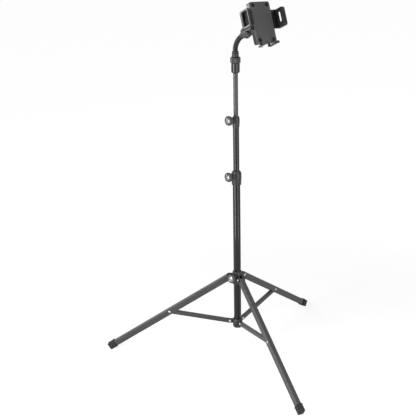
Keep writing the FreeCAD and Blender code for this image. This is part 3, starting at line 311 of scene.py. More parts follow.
def rounded_bar(low, high, end_radius, edge_radius):
    """A flat bar along X whose far end is a half circle and whose other edges are softened."""
    bar = bmesh.new()
    made = block(bar, low, high)
    round_over(bar, edges_of(made, 1, lambda middle: middle.x > high[0] - 0.01), end_radius, 8)
    soften(bar, edge_radius)
    return bar


def join(bm, other, place=None):
    """Adds another shape, laid by place, and frees it."""
    if place:
        other.transform(place)
    passing = bpy.data.meshes.new("passing")
    other.to_mesh(passing)
    other.free()
    bm.from_mesh(passing)
    bpy.data.meshes.remove(passing)


def turned_to(degrees):
    return Matrix.Rotation(math.radians(degrees), 4, "Z")


leg_turns = (173.86, 53.86, -66.14)
collar_bm = bmesh.new()
lathe(collar_bm, [(10.02, 81.5), (12.4, 81.5), (12.4, 84.0), (13.2, 84.8), (13.2, 103.6),
                  (12.2, 106), (10.02, 106)], 96)
soften(collar_bm, 0.5)
for leg_turn in leg_turns:
    join(collar_bm, rounded_bar((10.1, -2.8, 91.8), (26.9, 2.8, 103.8), 5.98, 0.5),
         turned_to(leg_turn))
set_in(collar_bm, "brace_collar", "mast", moulded_black,
       stands_for=["lower_collar"])

# Rivets: bright nickel-plated steel with low domed heads and a small dimple from the setting tool.
# They hold braces, legs and the hub's ears.
bright_nickel, nickel_shader, nickel_place = paint(
    "bright_nickel", (0.72, 0.71, 0.69), 0.25, Metallic=1.0)
nickel_haze = clouds(nickel_place, 380, detail=3.0)
feed(nickel_shader, "Base Color", mixed(nickel_haze, (0.36, 0.355, 0.34), (0.50, 0.495, 0.48)))
feed(nickel_shader, "Roughness", 0.16 + nickel_haze * 0.2)
feed(nickel_shader, "Normal", bumped(clouds(nickel_place, 900), 0.00003, 0.5))
head_outline = [(0, 0.70), (0.7, 0.78), (1.1, 1.02), (1.8, 0.98), (2.6, 0.78), (3.2, 0.46),
                (3.5, 0.12), (3.5, -0.2), (0, -0.2)]
shank_radius = 2.2


def rivet(bm, place, ends):
    """Domed heads along Y at the given distances, and the shank between them."""
    for end in ends:
        head = bmesh.new()
        lathe(head, head_outline, 32)
        facing = Matrix.Rotation(math.radians(-90 if end > 0 else 90), 4, "X")
        join(bm, head, place @ Matrix.Translation((0, end, 0)) @ facing)
    shank = bmesh.new()
    lathe(shank, [(0, min(ends)), (shank_radius, min(ends)), (shank_radius, max(ends)),
                  (0, max(ends))], 24)
    join(bm, shank, place @ Matrix.Rotation(math.radians(-90), 4, "X"))


brace_pin = Matrix.Translation((20.9, 0, 97.8))
leg_pin = Matrix.Translation((22.2, 0, 229.9))
collar_rivet_bm = bmesh.new()
for leg_turn in leg_turns:
    rivet(collar_rivet_bm, turned_to(leg_turn) @ brace_pin, (-4.25, 4.25))
set_in(collar_rivet_bm, "brace_rivets", "mast", bright_nickel,
       stands_for=["lower_collar_rivets"])
hub_rivet_bm = bmesh.new()
for leg_turn in leg_turns:
    for ends in ((6.9, 10.05), (-10.05, -6.9)):
        rivet(hub_rivet_bm, turned_to(leg_turn) @ leg_pin, ends)
set_in(hub_rivet_bm, "ear_rivets", "hub", bright_nickel,
       stands_for=["hub_rivets"])

# Tube clamps: moulded black sockets pressed on the outer tube, with a skirt, a sloping shoulder
# and a boss for the clamping screw. Each holds a plastic bush in which the inner tube slides.
clamp_turn = -140


def pointing_out(turn, out, height):
    """The place of a boss or knob whose axis stands out from the mast."""
    return (turned_to(turn) @ Matrix.Translation((out, 0, height))
            @ Matrix.Rotation(math.radians(90), 4, "Y"))


def clamp_body(name, body, node, low, outline, boss_radius, boss_start, boss_length, boss_up):
    bm = bmesh.new()
    lathe(bm, outline, 96)
    soften(bm, 0.7, 3, 20)
    boss = bmesh.new()
    lathe(boss, [(0, boss_start), (boss_radius - 0.3, boss_start),
                 (boss_radius + 0.8, boss_start + 1.4), (boss_radius + 0.5, 12.6),
                 (boss_radius, 13.6), (boss_radius, boss_length), (3, boss_length),
                 (3, boss_length - 3), (0, boss_length - 3)], 64)
    soften(boss, 0.5, 2, 20)
    join(bm, boss, pointing_out(0, 0, boss_up))
    place = Matrix.Translation((0, 0, low)) @ turned_to(clamp_turn)
    set_in(bm, name, body, moulded_black, place, [node])


clamp_body("lower_socket", "mast", "lower_clamp_body", 493,
           [(10.02, 0), (12.6, 0), (12.9, 12.5), (13.5, 16), (13.5, 30.5), (10.9, 36),
            (9.5, 36), (9.5, 14), (10.02, 14)],
           boss_radius=7, boss_start=9.7, boss_length=18, boss_up=25.3)
clamp_body("upper_socket", "middle", "upper_clamp_body", 648,
           [(8.02, 0), (9.0, 0), (9.3, 8), (9.7, 11), (9.7, 23), (8.3, 27),
            (7.5, 27), (7.5, 14), (8.02, 14)],
           boss_radius=6.2, boss_start=7.6, boss_length=15, boss_up=20.5)

# Bushes: black low-friction plastic liners of the clamps, with softened rims. They are pressed
# into the sockets and let the inner tubes slide.
bush_plastic, bush_shader, bush_place = paint("bush_plastic", (0.02, 0.02, 0.02), 0.35)
bush_rub = clouds(bush_place, 300, (1, 1, 0.1))
feed(bush_shader, "Base Color", mixed(bush_rub, (0.014, 0.014, 0.014), (0.03, 0.03, 0.031)))
feed(bush_shader, "Roughness", 0.25 + bush_rub * 0.25)
bush_wall = 1.4
for name, body, node, bore, low, high in (
        ("lower_bush", "mast", "lower_clamp_bush", 8.05, 507, 530),
        ("upper_bush", "middle", "upper_clamp_bush", 6.05, 662, 676)):
    bush_bm = bmesh.new()
    outside = bore + bush_wall
    lathe(bush_bm, [(bore, low), (outside, low), (outside, high), (bore, high)], 64)
    soften(bush_bm, 0.35)
    set_in(bush_bm, name, body, bush_plastic, stands_for=[node])


# Screws and nuts: zinc-plated steel, hidden in the bosses, the knobs and the holder's case. The
# frame's own solids show here, with the plating's haze on them.
def refinish(node, finish):
    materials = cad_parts[node].data.materials
    materials.clear()
    materials.append(finish)


zinc, zinc_shader, zinc_place = paint("zinc_plating", (0.62, 0.62, 0.6), 0.35, Metallic=1.0)
zinc_spangle = clouds(zinc_place, 700, detail=3.0)
feed(zinc_shader, "Base Color", mixed(zinc_spangle, (0.48, 0.48, 0.46), (0.70, 0.70, 0.68)))
feed(zinc_shader, "Roughness", 0.28 + zinc_spangle * 0.2)
for node in ("hub_nut", "lower_clamp_nut", "upper_clamp_nut", "hub_screw", "lower_clamp_screw",
             "upper_clamp_screw", "case_screws", "swivel_screw"):
    refinish(node, zinc)


# Clamping knobs: black plastic grips with six shallow scoops and fine ridges between them, a
# smooth rounded front rim and a collar behind. Each is pressed on its screw.
def next_ring(bm, loop):
    """Extrudes a loop of edges and gives the new points and the new loop."""
    made = bmesh.ops.extrude_edge_only(bm, edges=loop)["geom"]
    ring = [part for part in made if isinstance(part, bmesh.types.BMVert)]
    inside = set(ring)
    return ring, [part for part in made if isinstance(part, bmesh.types.BMEdge)
                  and part.verts[0] in inside and part.verts[1] in inside]


def first_ring(bm, radius, steps, capped=False):
    ring = bmesh.ops.create_circle(bm, cap_ends=capped, radius=radius, segments=steps)["verts"]
    return ring, list(dict.fromkeys(edge for vert in ring for edge in vert.link_edges))


def lobed(bm, stations, wave, steps):
    """A grip closed round its bore, from rings of points at (height, radius, depth).

    The wave, from 0 to 1 round the ring, cuts into each ring by its depth.
    """
    ring, first = first_ring(bm, 1, steps)
    loop = first
    for step, (height, radius, depth) in enumerate(stations):
        if step:
            ring, loop = next_ring(bm, loop)
        for vert in ring:
            turn = math.atan2(vert.co.y, vert.co.x)
            reach = radius - depth * wave(turn)
            vert.co = Vector((reach * math.cos(turn), reach * math.sin(turn), height))
    bmesh.ops.bridge_loops(bm, edges=first + loop)


def knob_wave(turn):
    scoop = max(0.0, math.cos(6 * turn)) ** 2
    ridge = 0.5 + 0.5 * math.cos(48 * turn)
    return scoop + 0.22 * ridge * (1 - scoop)


knob_plastic, knob_shader, knob_place = paint("knob_plastic", (0.022, 0.022, 0.023), 0.4)
knob_grain = clouds(knob_place, 1300)
knob_wear = clouds(knob_place, 160, detail=3.0)
feed(knob_shader, "Base Color", mixed(knob_wear, (0.016, 0.016, 0.017), (0.040, 0.040, 0.041)))
feed(knob_shader, "Roughness", 0.30 + knob_wear * 0.2)
feed(knob_shader, "Normal", bumped(knob_grain, 0.00005, 0.5))
hub_knob_turn, hub_knob_height = 233.86, 233.5
knobs = (("hub", "hub_knob", pointing_out(hub_knob_turn, 18.6, hub_knob_height)),
         ("lower", "lower_clamp_knob", pointing_out(clamp_turn, 18.6, 518.3)),
         ("upper", "upper_clamp_knob", pointing_out(clamp_turn, 15.6, 668.5)))
for part, node, place in knobs:
    knob_bm = bmesh.new()
    lobed(knob_bm, [(3.0, 6.5, 0), (3.0, 8.2, 0), (3.15, 9.8, 0.5), (4.0, 11.4, 1.0),
                    (5.4, 12.2, 1.3), (7.4, 12.5, 1.4), (10.6, 12.5, 1.4), (12.0, 12.1, 1.1),
                    (13.0, 11.2, 0.5), (13.4, 10.2, 0.1), (13.5, 9.4, 0), (13.5, 8.2, 0),
                    (12.6, 8.0, 0), (12.4, 6.5, 0)], knob_wave, 192)
    collar = bmesh.new()
    lathe(collar, [(2.6, 0), (6.3, 0), (6.5, 3.4), (2.6, 3.4)], 48)
    soften(collar, 0.4)
    join(knob_bm, collar)
    set_in(knob_bm, part + "_grip", part + "_knob", knob_plastic, place, [node])

# Knob caps: chromed discs pressed into the knobs' fronts, slightly domed, with a shallow groove
# turned halfway out and a rounded rim.
chrome, chrome_shader, chrome_place = paint("chrome", (0.45, 0.45, 0.455), 0.12, Metallic=1.0)
finger_marks = clouds(chrome_place, 260, detail=3.0)
feed(chrome_shader, "Base Color",
     mixed(finger_marks, (0.20, 0.20, 0.205), (0.36, 0.36, 0.365)))
feed(chrome_shader, "Roughness", 0.08 + finger_marks * 0.18)
feed(chrome_shader, "Normal", bumped(clouds(chrome_place, 500), 0.00004, 0.4))
for part, node, place in knobs:
    disc_bm = bmesh.new()
    lathe(disc_bm, [(0, 14.3), (2.0, 14.28), (4.2, 14.1), (4.5, 13.85), (4.9, 13.85), (5.2, 14.0),
                    (6.6, 13.85), (7.4, 13.5), (7.8, 13.0), (7.8, 12.2), (5.4, 12.2),
                    (5.4, 11.95), (0, 11.95)], 64)
    set_in(disc_bm, part + "_disc", part + "_knob", chrome, place,
           [node + "_cap"], 50)

# Middle tube: drawn steel of 16 mm in the same gloss black enamel. It slides in the main tube and
# carries the upper clamp.
drawn_tube("steel_middle_tube", "middle", gloss_enamel,
           radius=8, wall=1.2, low=262, high=662, node="middle_tube")

# Top tube: thin steel of 12 mm in a satin dark grey finish, with light lengthwise rub marks from
# sliding in its bush. It ends in the neck's sleeve.
satin_grey, satin_shader, satin_place = paint(
    "satin_grey", (0.10, 0.10, 0.10), 0.36, Specular_IOR_Level=0.4)
tube_lines = clouds(satin_place, 1.0, (1400, 1400, 7), detail=3.0)
tube_spots = clouds(satin_place, 210, (1, 1, 0.4), detail=3.0)
feed(satin_shader, "Base Color", mixed(tube_lines, (0.020, 0.020, 0.020), (0.044, 0.044, 0.043)))
feed(satin_shader, "Roughness", 0.28 + tube_lines * 0.12 + (tube_spots > 0.66) * 0.1)
feed(satin_shader, "Normal", bumped(tube_lines, 0.00001, 0.4))
drawn_tube("steel_top_tube", "top", satin_grey,
           radius=6, wall=1.0, low=407.5, high=802.5, node="top_tube")

# Hub: the moulded black slider that spreads the legs. It has a ring round the main tube, two ears
# for each leg, and a boss for its own clamping knob.
hub_bm = bmesh.new()
lathe(hub_bm, [(10.05, 209.5), (12.2, 209.5), (13.2, 211.5), (13.2, 243.5), (12.4, 246.2),
               (10.9, 247), (10.05, 247)], 96)
soften(hub_bm, 0.4, 2, 20)
ear_thickness = 3.2
for leg_turn in leg_turns:
    for side in (6.8, -10.0):
        join(hub_bm, rounded_bar((8, side, 223.1), (29.0, side + ear_thickness, 236.7), 6.78, 0.6),
             turned_to(leg_turn))
hub_boss = bmesh.new()
lathe(hub_boss, [(0, 10.15), (7.85, 10.15), (7.6, 12.6), (7, 13.6), (7, 18), (3, 18), (3, 15),
                 (0, 15)], 64)
soften(hub_boss, 0.5, 2, 20)
join(hub_bm, hub_boss, pointing_out(hub_knob_turn, 0, hub_knob_height))
set_in(hub_bm, "leg_hub", "hub", moulded_black, stands_for=["hub_body"])


# Legs and braces: pressed steel channels, open below, powder-coated in satin dark grey. Their long
# edges are rolled over and their ends rounded about the rivets.
def merged_copy(node):
    """A copy of a solid of the frame with its triangles joined into whole faces."""
    bm = bmesh.new()
    bm.from_mesh(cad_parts[node].data)
    bm.transform(Matrix.Scale(1 / MM, 4))
    bmesh.ops.remove_doubles(bm, verts=bm.verts, dist=0.002)
    bmesh.ops.dissolve_limit(bm, angle_limit=math.radians(0.3), verts=bm.verts, edges=bm.edges)
    return bm


powder_coat, powder_shader, powder_place = paint(
    "powder_coat", (0.075, 0.075, 0.077), 0.4, Specular_IOR_Level=0.35)
coat_grain = clouds(powder_place, 1100)
coat_shade = clouds(powder_place, 22)
coat_chips = clouds(powder_place, 130, detail=4.0)
feed(powder_shader, "Base Color",
     mixed(coat_shade, (0.028, 0.028, 0.029), (0.046, 0.046, 0.047)))
feed(powder_shader, "Roughness", 0.30 + coat_grain * 0.12 + (coat_chips > 0.68) * 0.12)
feed(powder_shader, "Normal", bumped(coat_grain, 0.00006, 0.6))
for leg in (1, 2, 3):
    for kind in ("leg", "brace"):
        part = "%s_%d" % (kind, leg)
        set_in(merged_copy(part), "channel_" + part, part, powder_coat,
               stands_for=[part], crease=28)

# Leg rivets: one through each leg and the end of its brace, the same bright rivets as on the hub.
# They turn with the leg.
leg_slope = 56.65
brace_rivet_along = 197.6
leg_frames = [turned_to(leg_turn) @ leg_pin @ Matrix.Rotation(math.radians(90 - leg_slope), 4, "Y")
              for leg_turn in leg_turns]
for leg, leg_frame in enumerate(leg_frames, start=1):
    leg_rivet_bm = bmesh.new()
    rivet(leg_rivet_bm, leg_frame @ Matrix.Translation((brace_rivet_along, 0, 0)), (-6.55, 6.55))
    set_in(leg_rivet_bm, "pin_leg_%d" % leg, "leg_%d" % leg, bright_nickel,
           stands_for=["leg_rivet_%d" % leg])

# Feet: black rubber boots pushed over the legs' ends, with a thick rim, shallow grip grooves and a
# sole that is flat on the floor.
rubber, rubber_shader, rubber_place = paint(
    "black_rubber", (0.02, 0.02, 0.02), 0.7, Specular_IOR_Level=0.2)
rubber_bloom = clouds(rubber_place, 150, detail=4.0)
rubber_grain = clouds(rubber_place, 1700)
feed(rubber_shader, "Base Color",
     mixed(rubber_bloom, (0.012, 0.012, 0.012), (0.032, 0.0315, 0.031)))
feed(rubber_shader, "Roughness", 0.5 + rubber_bloom * 0.3)
feed(rubber_shader, "Normal", bumped(rubber_grain, 0.00008, 0.6))


def cut_through(bm, at, facing, **leave):
    bmesh.ops.bisect_plane(bm, geom=bm.verts[:] + bm.edges[:] + bm.faces[:], dist=0.0001,
                           plane_co=at, plane_no=facing, **leave)


def grip_groove(bm, along, depth):
    """Sinks a ring of points round the boot, between two cuts that keep the groove 1 mm wide."""
    for offset in (-0.5, 0, 0.5):
        cut_through(bm, (along + offset, 0, 0), (1, 0, 0))
    for vert in bm.verts:
        if abs(vert.co.x - along) < 0.01:
            vert.co -= Vector((0, vert.co.y, vert.co.z)).normalized() * depth


boot_top, boot_end = 384, 406
for leg, leg_frame in enumerate(leg_frames, start=1):
    boot = bmesh.new()
    made = block(boot, (boot_top, -8.1, -9.85), (boot_end, 8.1, 9.85))
    round_over(boot, edges_of(made, 0), 2.6, 5)
    round_over(boot, [e for e in boot.edges if min(v.co.x for v in e.verts) > boot_end - 0.1],
               2.4, 4)
    for along in (391.5, 394.5, 397.5):
        grip_groove(boot, along, 0.45)
    rim = bmesh.new()
    made = block(rim, (boot_top, -8.7, -10.45), (boot_top + 3.6, 8.7, 10.45))
    round_over(rim, edges_of(made, 0), 3.0, 5)
    soften(rim, 0.7, 3)
    for shape in (boot, rim):
        shape.transform(leg_frame)
        cut_through(shape, (0, 0, 0), (0, 0, -1), clear_outer=True)
        bmesh.ops.holes_fill(shape, edges=[e for e in shape.edges if e.is_boundary], sides=0)
    join(boot, rim)
    set_in(boot, "boot_%d" % leg, "leg_%d" % leg, rubber,
           stands_for=["foot_%d" % leg])

# Sleeve: the glossy black plug on the top tube, with a rounded lower rim and the threaded spigot
# that the neck is screwed to.
gloss_black, gloss_shader, gloss_place = paint(
    "gloss_black", (0.012, 0.012, 0.013), 0.12, Specular_IOR_Level=0.36)
gloss_haze = clouds(gloss_place, 120, detail=3.0)
feed(gloss_shader, "Base Color", mixed(gloss_haze, (0.008, 0.008, 0.009), (0.018, 0.018, 0.019)))
feed(gloss_shader, "Roughness", 0.05 + gloss_haze * 0.08)
feed(gloss_shader, "Normal", bumped(clouds(gloss_place, 350), 0.00001, 0.3))
sleeve_bm = bmesh.new()
lathe(sleeve_bm, [(6.02, 788.5), (8.6, 788.5), (9.8, 789.3), (10.6, 790.6), (11, 792.6),
                  (11, 812.8), (10.5, 814), (6, 814), (6, 824.5), (4.5, 824.5), (4.5, 802.5),
                  (6.02, 802.5)], 96)
soften(sleeve_bm, 0.35, 2, 40)
set_in(sleeve_bm, "mast_sleeve", "top", gloss_black,
       stands_for=["neck_sleeve"])


# Coupling nut: dark grey moulded plastic with twenty upright ribs, which turns on the sleeve's
# spigot and holds the neck down.
def nut_finish(name, dark, light, least_rough):
    material, shader, place = paint(name, light, 0.5, Specular_IOR_Level=0.35)
    haze = clouds(place, 190, detail=3.0)
    feed(shader, "Base Color", mixed(haze, dark, light))
    feed(shader, "Roughness", least_rough + haze * 0.2)
    feed(shader, "Normal", bumped(clouds(place, 1500), 0.00005, 0.5))
    return material


coupling_grey = nut_finish("coupling_grey", (0.015, 0.015, 0.015), (0.034, 0.034, 0.0335), 0.22)
coupling_bm = bmesh.new()
lobed(coupling_bm, [(0, 9.6, 0), (0, 11.4, 0), (0.5, 12.2, 0.2), (1.2, 13.0, 0.9),
                    (12.4, 13.0, 0.9), (13.1, 12.5, 0.4), (13.9, 11.9, 0), (14.5, 11.2, 0),
                    (14.5, 7.0, 0)],
      lambda turn: (0.5 - 0.5 * math.cos(20 * turn)) ** 0.7, 240)
set_in(coupling_bm, "ribbed_nut", "coupling_nut", coupling_grey,
       Matrix.Translation((0, 0, 814.3)), ["coupling_nut"])

# Ferrule: the black-lacquered steel cup that the neck is crimped in, with a step below that the
# coupling nut holds and a ring rolled round its top.
neck_black, neck_shader, neck_place = paint(
    "neck_black", (0.022, 0.022, 0.023), 0.3, Specular_IOR_Level=0.28)
neck_haze = clouds(neck_place, 260, detail=3.0)
feed(neck_shader, "Base Color", mixed(neck_haze, (0.007, 0.007, 0.008), (0.020, 0.020, 0.021)))
feed(neck_shader, "Roughness", 0.20 + neck_haze * 0.16)
neck_foot = 843.1
ferrule_bm = bmesh.new()
lathe(ferrule_bm, [(5.9, 824.8), (9, 824.8), (9, 826.5), (6.5, 826.5), (6.5, 829.0), (8.4, 829.1),
                   (8.8, 829.8), (8.8, 838.2), (8.3, 838.8), (8.3, 839.4), (8.7, 840.0),
                   (8.5, 842.2), (7.4, neck_foot), (5.9, neck_foot)], 80)
soften(ferrule_bm, 0.25, 2, 25)
set_in(ferrule_bm, "neck_cup_lower", "neck_base", neck_black,
       stands_for=["neck_ferrule"])

# Flexible neck: a tightly wound steel spring hose, lacquered black, whose ribs show all the way.
# It bends as one; each part of its skin is drawn curved across one joint of the frame's stiff
# lengths.
neck_straight, neck_radius, neck_bend = 2, 46, 52
stiff_length = 10.437
rib_pitch = stiff_length / 4
rib_outline = ((0, 5.8), (0.14, 6.28), (0.32, 6.55), (0.5, 6.62), (0.68, 6.55), (0.86, 6.28))


def on_neck(along):
    """The neck's own frame at a distance along its line: a short straight run, then an arc."""
    bend = max(0.0, along - neck_straight) / neck_radius
    base = turned_to(-30) @ Matrix.Translation((0, 0, neck_foot + min(along, neck_straight)))
    return (base @ Matrix.Translation((neck_radius * (1 - math.cos(bend)), 0,
                                       neck_radius * math.sin(bend)))
            @ Matrix.Rotation(bend, 4, "Y"))


neck_parts = ((-2, 6, "neck_base", "neck_2", ["gooseneck_1"]),
              (0, 4, "neck_2", "neck_3", ["gooseneck_2"]),
              (0, 4, "neck_3", "neck_4", ["gooseneck_3"]),
              (0, 5, "neck_4", "neck_end", ["gooseneck_4", "gooseneck_5"]))
for part, (first_rib, ribs, body, next_body, nodes) in enumerate(neck_parts, start=1):
    bend_start = neck_straight + stiff_length * (part - 1)
    bend_end = bend_start + stiff_length
    start = bend_start + first_rib * rib_pitch
    stops = [(start + (rib + share) * rib_pitch, radius)
             for rib in range(ribs) for share, radius in rib_outline]
    stops.append((start + ribs * rib_pitch, rib_outline[0][1]))
    skin_bm = bmesh.new()
    ring, loop = first_ring(skin_bm, stops[0][1], 40, capped=True)
    bmesh.ops.transform(skin_bm, matrix=on_neck(stops[0][0]), verts=ring)
    for (along, radius), (next_along, next_radius) in zip(stops, stops[1:]):
        ring, loop = next_ring(skin_bm, loop)
        grow = next_radius / radius
        step = on_neck(next_along) @ Matrix.Diagonal((grow, grow, 1, 1)) @ on_neck(along).inverted()
        bmesh.ops.transform(skin_bm, matrix=step, verts=ring)
    bmesh.ops.contextual_create(skin_bm, geom=loop)
    skin = set_in(skin_bm, "hose_%d" % part, None, neck_black, stands_for=nodes,
                  crease=75)
    on_neck(bend_start).translation * MM
    on_neck(bend_end).translation * MM
    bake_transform(skin)

# Neck end: the black cup at the hose's end that holds the ball, with its grey plastic seat
# inside. The seat is the frame's own solid.
cup_place = on_neck(neck_straight + neck_radius * math.radians(neck_bend))
cup_bm = bmesh.new()
lathe(cup_bm, [(5.9, 0), (7.3, 0), (7.6, 0.6), (7.6, 5), (7.9, 6), (11.2, 8), (11.5, 8.6),
               (11.5, 23), (10.5, 23), (10.5, 14), (5.9, 12)], 72)
soften(cup_bm, 0.3, 2, 30)
set_in(cup_bm, "ball_cup", "neck_end", moulded_black, cup_place,
       ["neck_end_cup"])
refinish("ball_seat", nut_finish("seat_plastic", (0.10, 0.10, 0.10), (0.16, 0.16, 0.16), 0.26))

# Ring nut: dark grey moulded plastic with sixteen finger scallops. It screws over the cup and
# closes on the ball, which shows in its mouth.
ring_grey = nut_finish("ring_grey", (0.014, 0.014, 0.014), (0.036, 0.036, 0.0355), 0.14)
ring_bm = bmesh.new()
lobed(ring_bm, [(10.0, 11.55, 0), (10.0, 12.6, 0), (10.3, 13.4, 0.5), (11.2, 14.3, 1.1),
                (23.0, 14.3, 1.1), (25.6, 13.9, 0.9), (27.4, 12.6, 0.4), (28.5, 10.6, 0),
                (28.65, 9.2, 0), (28.5, 8.2, 0), (28.0, 8.1, 0), (26.0, 9.1, 0),
                (23.2, 11.0, 0), (23.1, 11.55, 0)],
      lambda turn: 1 - abs(math.cos(8 * turn)) ** 0.8, 192)
set_in(ring_bm, "scalloped_nut", "ball_nut", ring_grey, cup_place, ["ball_nut"])

# Ball stud: one black moulding with a polished ball, a short neck and a flared disc behind the
# holder, on which the holder turns. It is drawn in the holder's frame, whose Z faces the phone.
holder_place = Matrix(((0.847693, -0.182165, 0.498229, 65.569),
                       (0.526756, 0.400233, -0.749895, -69.2887),
                       (-0.062803, 0.898126, 0.435231, 925.7201),
                       (0, 0, 0, 1)))
ball_radius, ball_centre = 9, -68
ball_outline = [(ball_radius * math.cos(math.radians(rise)),
                 ball_radius * math.sin(math.radians(rise)) + ball_centre)
                for rise in range(-80, 61, 10)]
stud_bm = bmesh.new()
lathe(stud_bm, [(0, ball_centre - ball_radius)] + ball_outline
      + [(4, -59.6), (4, -46), (4.5, -44.4), (7, -36.6), (9.6, -29.6), (10.5, -28.6),
         (10.5, -24.8), (5, -24.8), (5, -18), (0, -18)], 72)
soften(stud_bm, 0.3, 2, 35)
set_in(stud_bm, "ball_and_stud", "ball_stud", gloss_black, holder_place,
       ["ball_stud"])

# Back shell: the holder's black moulded case, a shallow tray with rounded corners, slots for the
# two arms, posts for the screws and a round boss behind that turns on the stud. Its shape is the
# frame's own.
set_in(merged_copy("back_shell"), "holder_case", "holder", gloss_black,
       stands_for=["back_shell"], crease=30)

# Front plate: matte dark grey plastic with rounded corners, a softly rounded front edge and a low
# raised ring round each rubber disc. Screws under the discs hold it.
plate_grey, plate_shader, plate_place = paint(
    "plate_grey", (0.088, 0.088, 0.089), 0.5, Specular_IOR_Level=0.35)
plate_grain = clouds(plate_place, 1400, detail=3.0)
plate_shade = clouds(plate_place, 18)
feed(plate_shader, "Base Color",
     mixed(plate_shade, (0.050, 0.050, 0.051), (0.070, 0.070, 0.071)))
feed(plate_shader, "Roughness", 0.42 + plate_grain * 0.16)
feed(plate_shader, "Normal", bumped(plate_grain, 0.00006, 0.6))
plate_bm = bmesh.new()
made = block(plate_bm, (-29, -51.5, -3), (29, 51.5, 0))
round_over(plate_bm, edges_of(made, 2), 5, 8)
front_edges = [e for e in plate_bm.edges if min(v.co.z for v in e.verts) > -0.01]
round_over(plate_bm, front_edges, 1.1, 4)
disc_places = [Matrix.Translation((x, y, 0)) for x in (-20, 20) for y in (-43, 43)]
for disc_place in disc_places:
    disc_ring = bmesh.new()
    lathe(disc_ring, [(4.8, -0.6), (5.6, -0.6), (5.45, 0.12), (4.9, 0.12)], 40)
    soften(disc_ring, 0.1)
    join(plate_bm, disc_ring, disc_place)
set_in(plate_bm, "face_plate", "holder", plate_grey, holder_place,
       ["front_plate"], 40)

# Rubber discs: four soft black discs set into the plate over its screws, slightly domed, which the
# phone's back rests on.
disc_rubber, disc_shader, disc_paint_place = paint(
    "disc_rubber", (0.008, 0.008, 0.008), 0.6, Specular_IOR_Level=0.12)
disc_bloom = clouds(disc_paint_place, 420, detail=3.0)
feed(disc_shader, "Base Color",
     mixed(disc_bloom, (0.004, 0.004, 0.004), (0.014, 0.014, 0.0138)))
feed(disc_shader, "Roughness", 0.5 + disc_bloom * 0.2)
discs_bm = bmesh.new()
for disc_place in disc_places:
    disc = bmesh.new()
    lathe(disc, [(0, 0.4), (2.8, 0.38), (4.0, 0.3), (4.6, 0.12), (4.7, -0.1), (4.7, -1.2),
                 (0, -1.2)], 40)
    join(discs_bm, disc, disc_place)
set_in(discs_bm, "soft_discs", "holder", disc_rubber, holder_place,
       ["plate_discs"])


# Sliding arms: gloss black mouldings, each a flat slide in the case's side slot with an upright
# jaw. The jaw has a wide window and a lip that keeps the phone in, and a rack meets the pinion.
def jaw_plate(low, high, corner, window_low, window_high):
    """An upright plate drawn as the right arm's, with a rounded window through it along X.

    The window's corners are given in Y and Z.
    """
    plate = bmesh.new()
    made = block(plate, low, high)
    round_over(plate, edges_of(made, 0), corner, 6)
    faces = [f for f in plate.faces if abs(f.normal.x) > 0.9]
    bmesh.ops.inset_individual(plate, faces=faces, thickness=4)
    holes = [f for f in plate.faces if abs(f.normal.x) > 0.9 and len(f.verts) > 8]
    for hole in holes:
        for axis, new_least, new_most in zip((1, 2), window_low, window_high):
            reached = [vert.co[axis] for vert in hole.verts]
            least, most = min(reached), max(reached)
            for vert in hole.verts:
                share = (vert.co[axis] - least) / (most - least)
                vert.co[axis] = new_least + share * (new_most - new_least)
    loops = [e for hole in holes for e in hole.edges]
    bmesh.ops.delete(plate, geom=holes, context="FACES_ONLY")
    bmesh.ops.bridge_loops(plate, edges=loops)
    return plate


def on_side(bm, side):
    """The shape as it is for the right side, and mirrored for the left."""
    if side < 0:
        bm.transform(Matrix.Diagonal((-1, 1, 1, 1)))
        bmesh.ops.reverse_faces(bm, faces=bm.faces)
    return bm


def soft_block(low, high, edge_radius, segments=3):
    bm = bmesh.new()
    block(bm, low, high)
    soften(bm, edge_radius, segments)
    return bm


pinion_up = 7.7
for name, side in (("left", -1), ("right", 1)):
    arm_bm = bmesh.new()
    jaw = jaw_plate((46, -15.8, -13.5), (54, 31.2, 23), 6, (-7.8, -4.5), (25.7, 16))
    soften(jaw, 1.1, 3, 40)
    lip = soft_block((42, -9.8, 20), (50, 25.2, 23), 0.9)
    slide = soft_block((17.5, -15.8, -8.5), (46.6, 31.2, -3.5), 0.8)
    rack = bmesh.new()
    block(rack, (-8, pinion_up - 11.8, -12), (25, pinion_up - 6.8, -8.8))
    block(rack, (18, pinion_up - 11.5, -8.9), (24.7, pinion_up - 7.1, -8.3))
    if side < 0:
        rack.transform(Matrix.Translation((0, 2 * pinion_up, 0)) @ Matrix.Diagonal((1, -1, 1, 1)))
        bmesh.ops.reverse_faces(rack, faces=rack.faces)
    for shape in (jaw, lip, slide, rack):
        join(arm_bm, on_side(shape, side))
    set_in(arm_bm, name + "_jaw", name + "_arm", gloss_black, holder_place,
           [name + "_arm"])

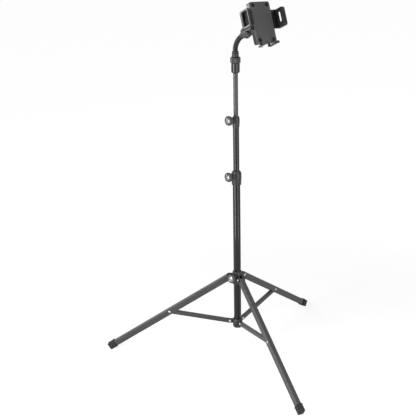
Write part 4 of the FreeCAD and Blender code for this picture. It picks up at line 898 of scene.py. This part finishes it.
# Jaw pads: soft black rubber sheets on the jaws' inner faces, open at the window, with two upright
# ribs beside the lip that grip the phone's edge.
for name, side in (("left", -1), ("right", 1)):
    pad_bm = bmesh.new()
    pad = jaw_plate((43, -14.3, -3.2), (46, 29.7, 19.7), 3, (-4, 5.5), (21, 16.5))
    soften(pad, 0.4, 2, 40)
    ribs = [soft_block((42.2, -11.3, level), (43.2, 26.7, level + 0.8), 0.3)
            for level in (16.5, 18.1)]
    for shape in (pad, *ribs):
        join(pad_bm, on_side(shape, side))
    set_in(pad_bm, name + "_grip_pad", name + "_arm", rubber, holder_place,
           [name + "_pad"])

# Pinion: a small black plastic wheel inside the case that keeps the two arms together. The frame's
# own solid shows, though only through the slots.
refinish("pinion", bush_plastic)

# Release button: a round black push button in the case's back, with a dished face and a low rim.
# Pressed, it lets the arms spring apart.
button_bm = bmesh.new()
lathe(button_bm, [(0, -17.7), (2.2, -17.75), (3.4, -17.9), (3.8, -18.1), (4.9, -18.1),
                  (5.5, -17.6), (5.5, -13.2), (7, -13.2), (7, -11.7), (0, -11.7)], 56)
soften(button_bm, 0.2, 2, 30)
set_in(button_bm, "push_button", "release_button", gloss_black,
       holder_place @ Matrix.Translation((0, 40, 0)), ["release_button"])


# Drop-down rest: one gloss black moulding with two stems in the case, joined by a bar, and two
# hooks in front of the plate for the phone's lower edge.
def upturned_hook():
    """A flat finger under the plate, drawn on by 3 mm and turned up by 2 mm at its tip."""
    hook = bmesh.new()
    block(hook, (12.5, -58, -13.8), (19.5, -54.5, 19))
    end = [f for f in hook.faces if f.normal.z > 0.9]
    far = bmesh.ops.extrude_discrete_faces(hook, faces=end)["faces"]
    bmesh.ops.translate(hook, vec=(0, 0, 3), verts=far[0].verts)
    upper = [f for f in hook.faces if f.normal.y > 0.9 and f.calc_center_median().z > 19.5]
    lifted = bmesh.ops.extrude_discrete_faces(hook, faces=upper)["faces"]
    bmesh.ops.translate(hook, vec=(0, 2, 0), verts=lifted[0].verts)
    soften(hook, 0.9, 3)
    return hook


rest_bm = bmesh.new()
join(rest_bm, soft_block((-11.5, -34, -12.8), (11.5, -28, -9.8), 0.4, 2))
for side in (-1, 1):
    stem = soft_block((8.5, -57.4, -12.75), (14.5, -28.2, -9.85), 0.4, 2)
    foot = soft_block((8.5, -58, -14), (19.4, -54.5, -9), 0.9)
    for shape in (stem, foot, upturned_hook()):
        join(rest_bm, on_side(shape, side))
set_in(rest_bm, "phone_hooks", "phone_rest", gloss_black, holder_place,
       ["phone_rest"])
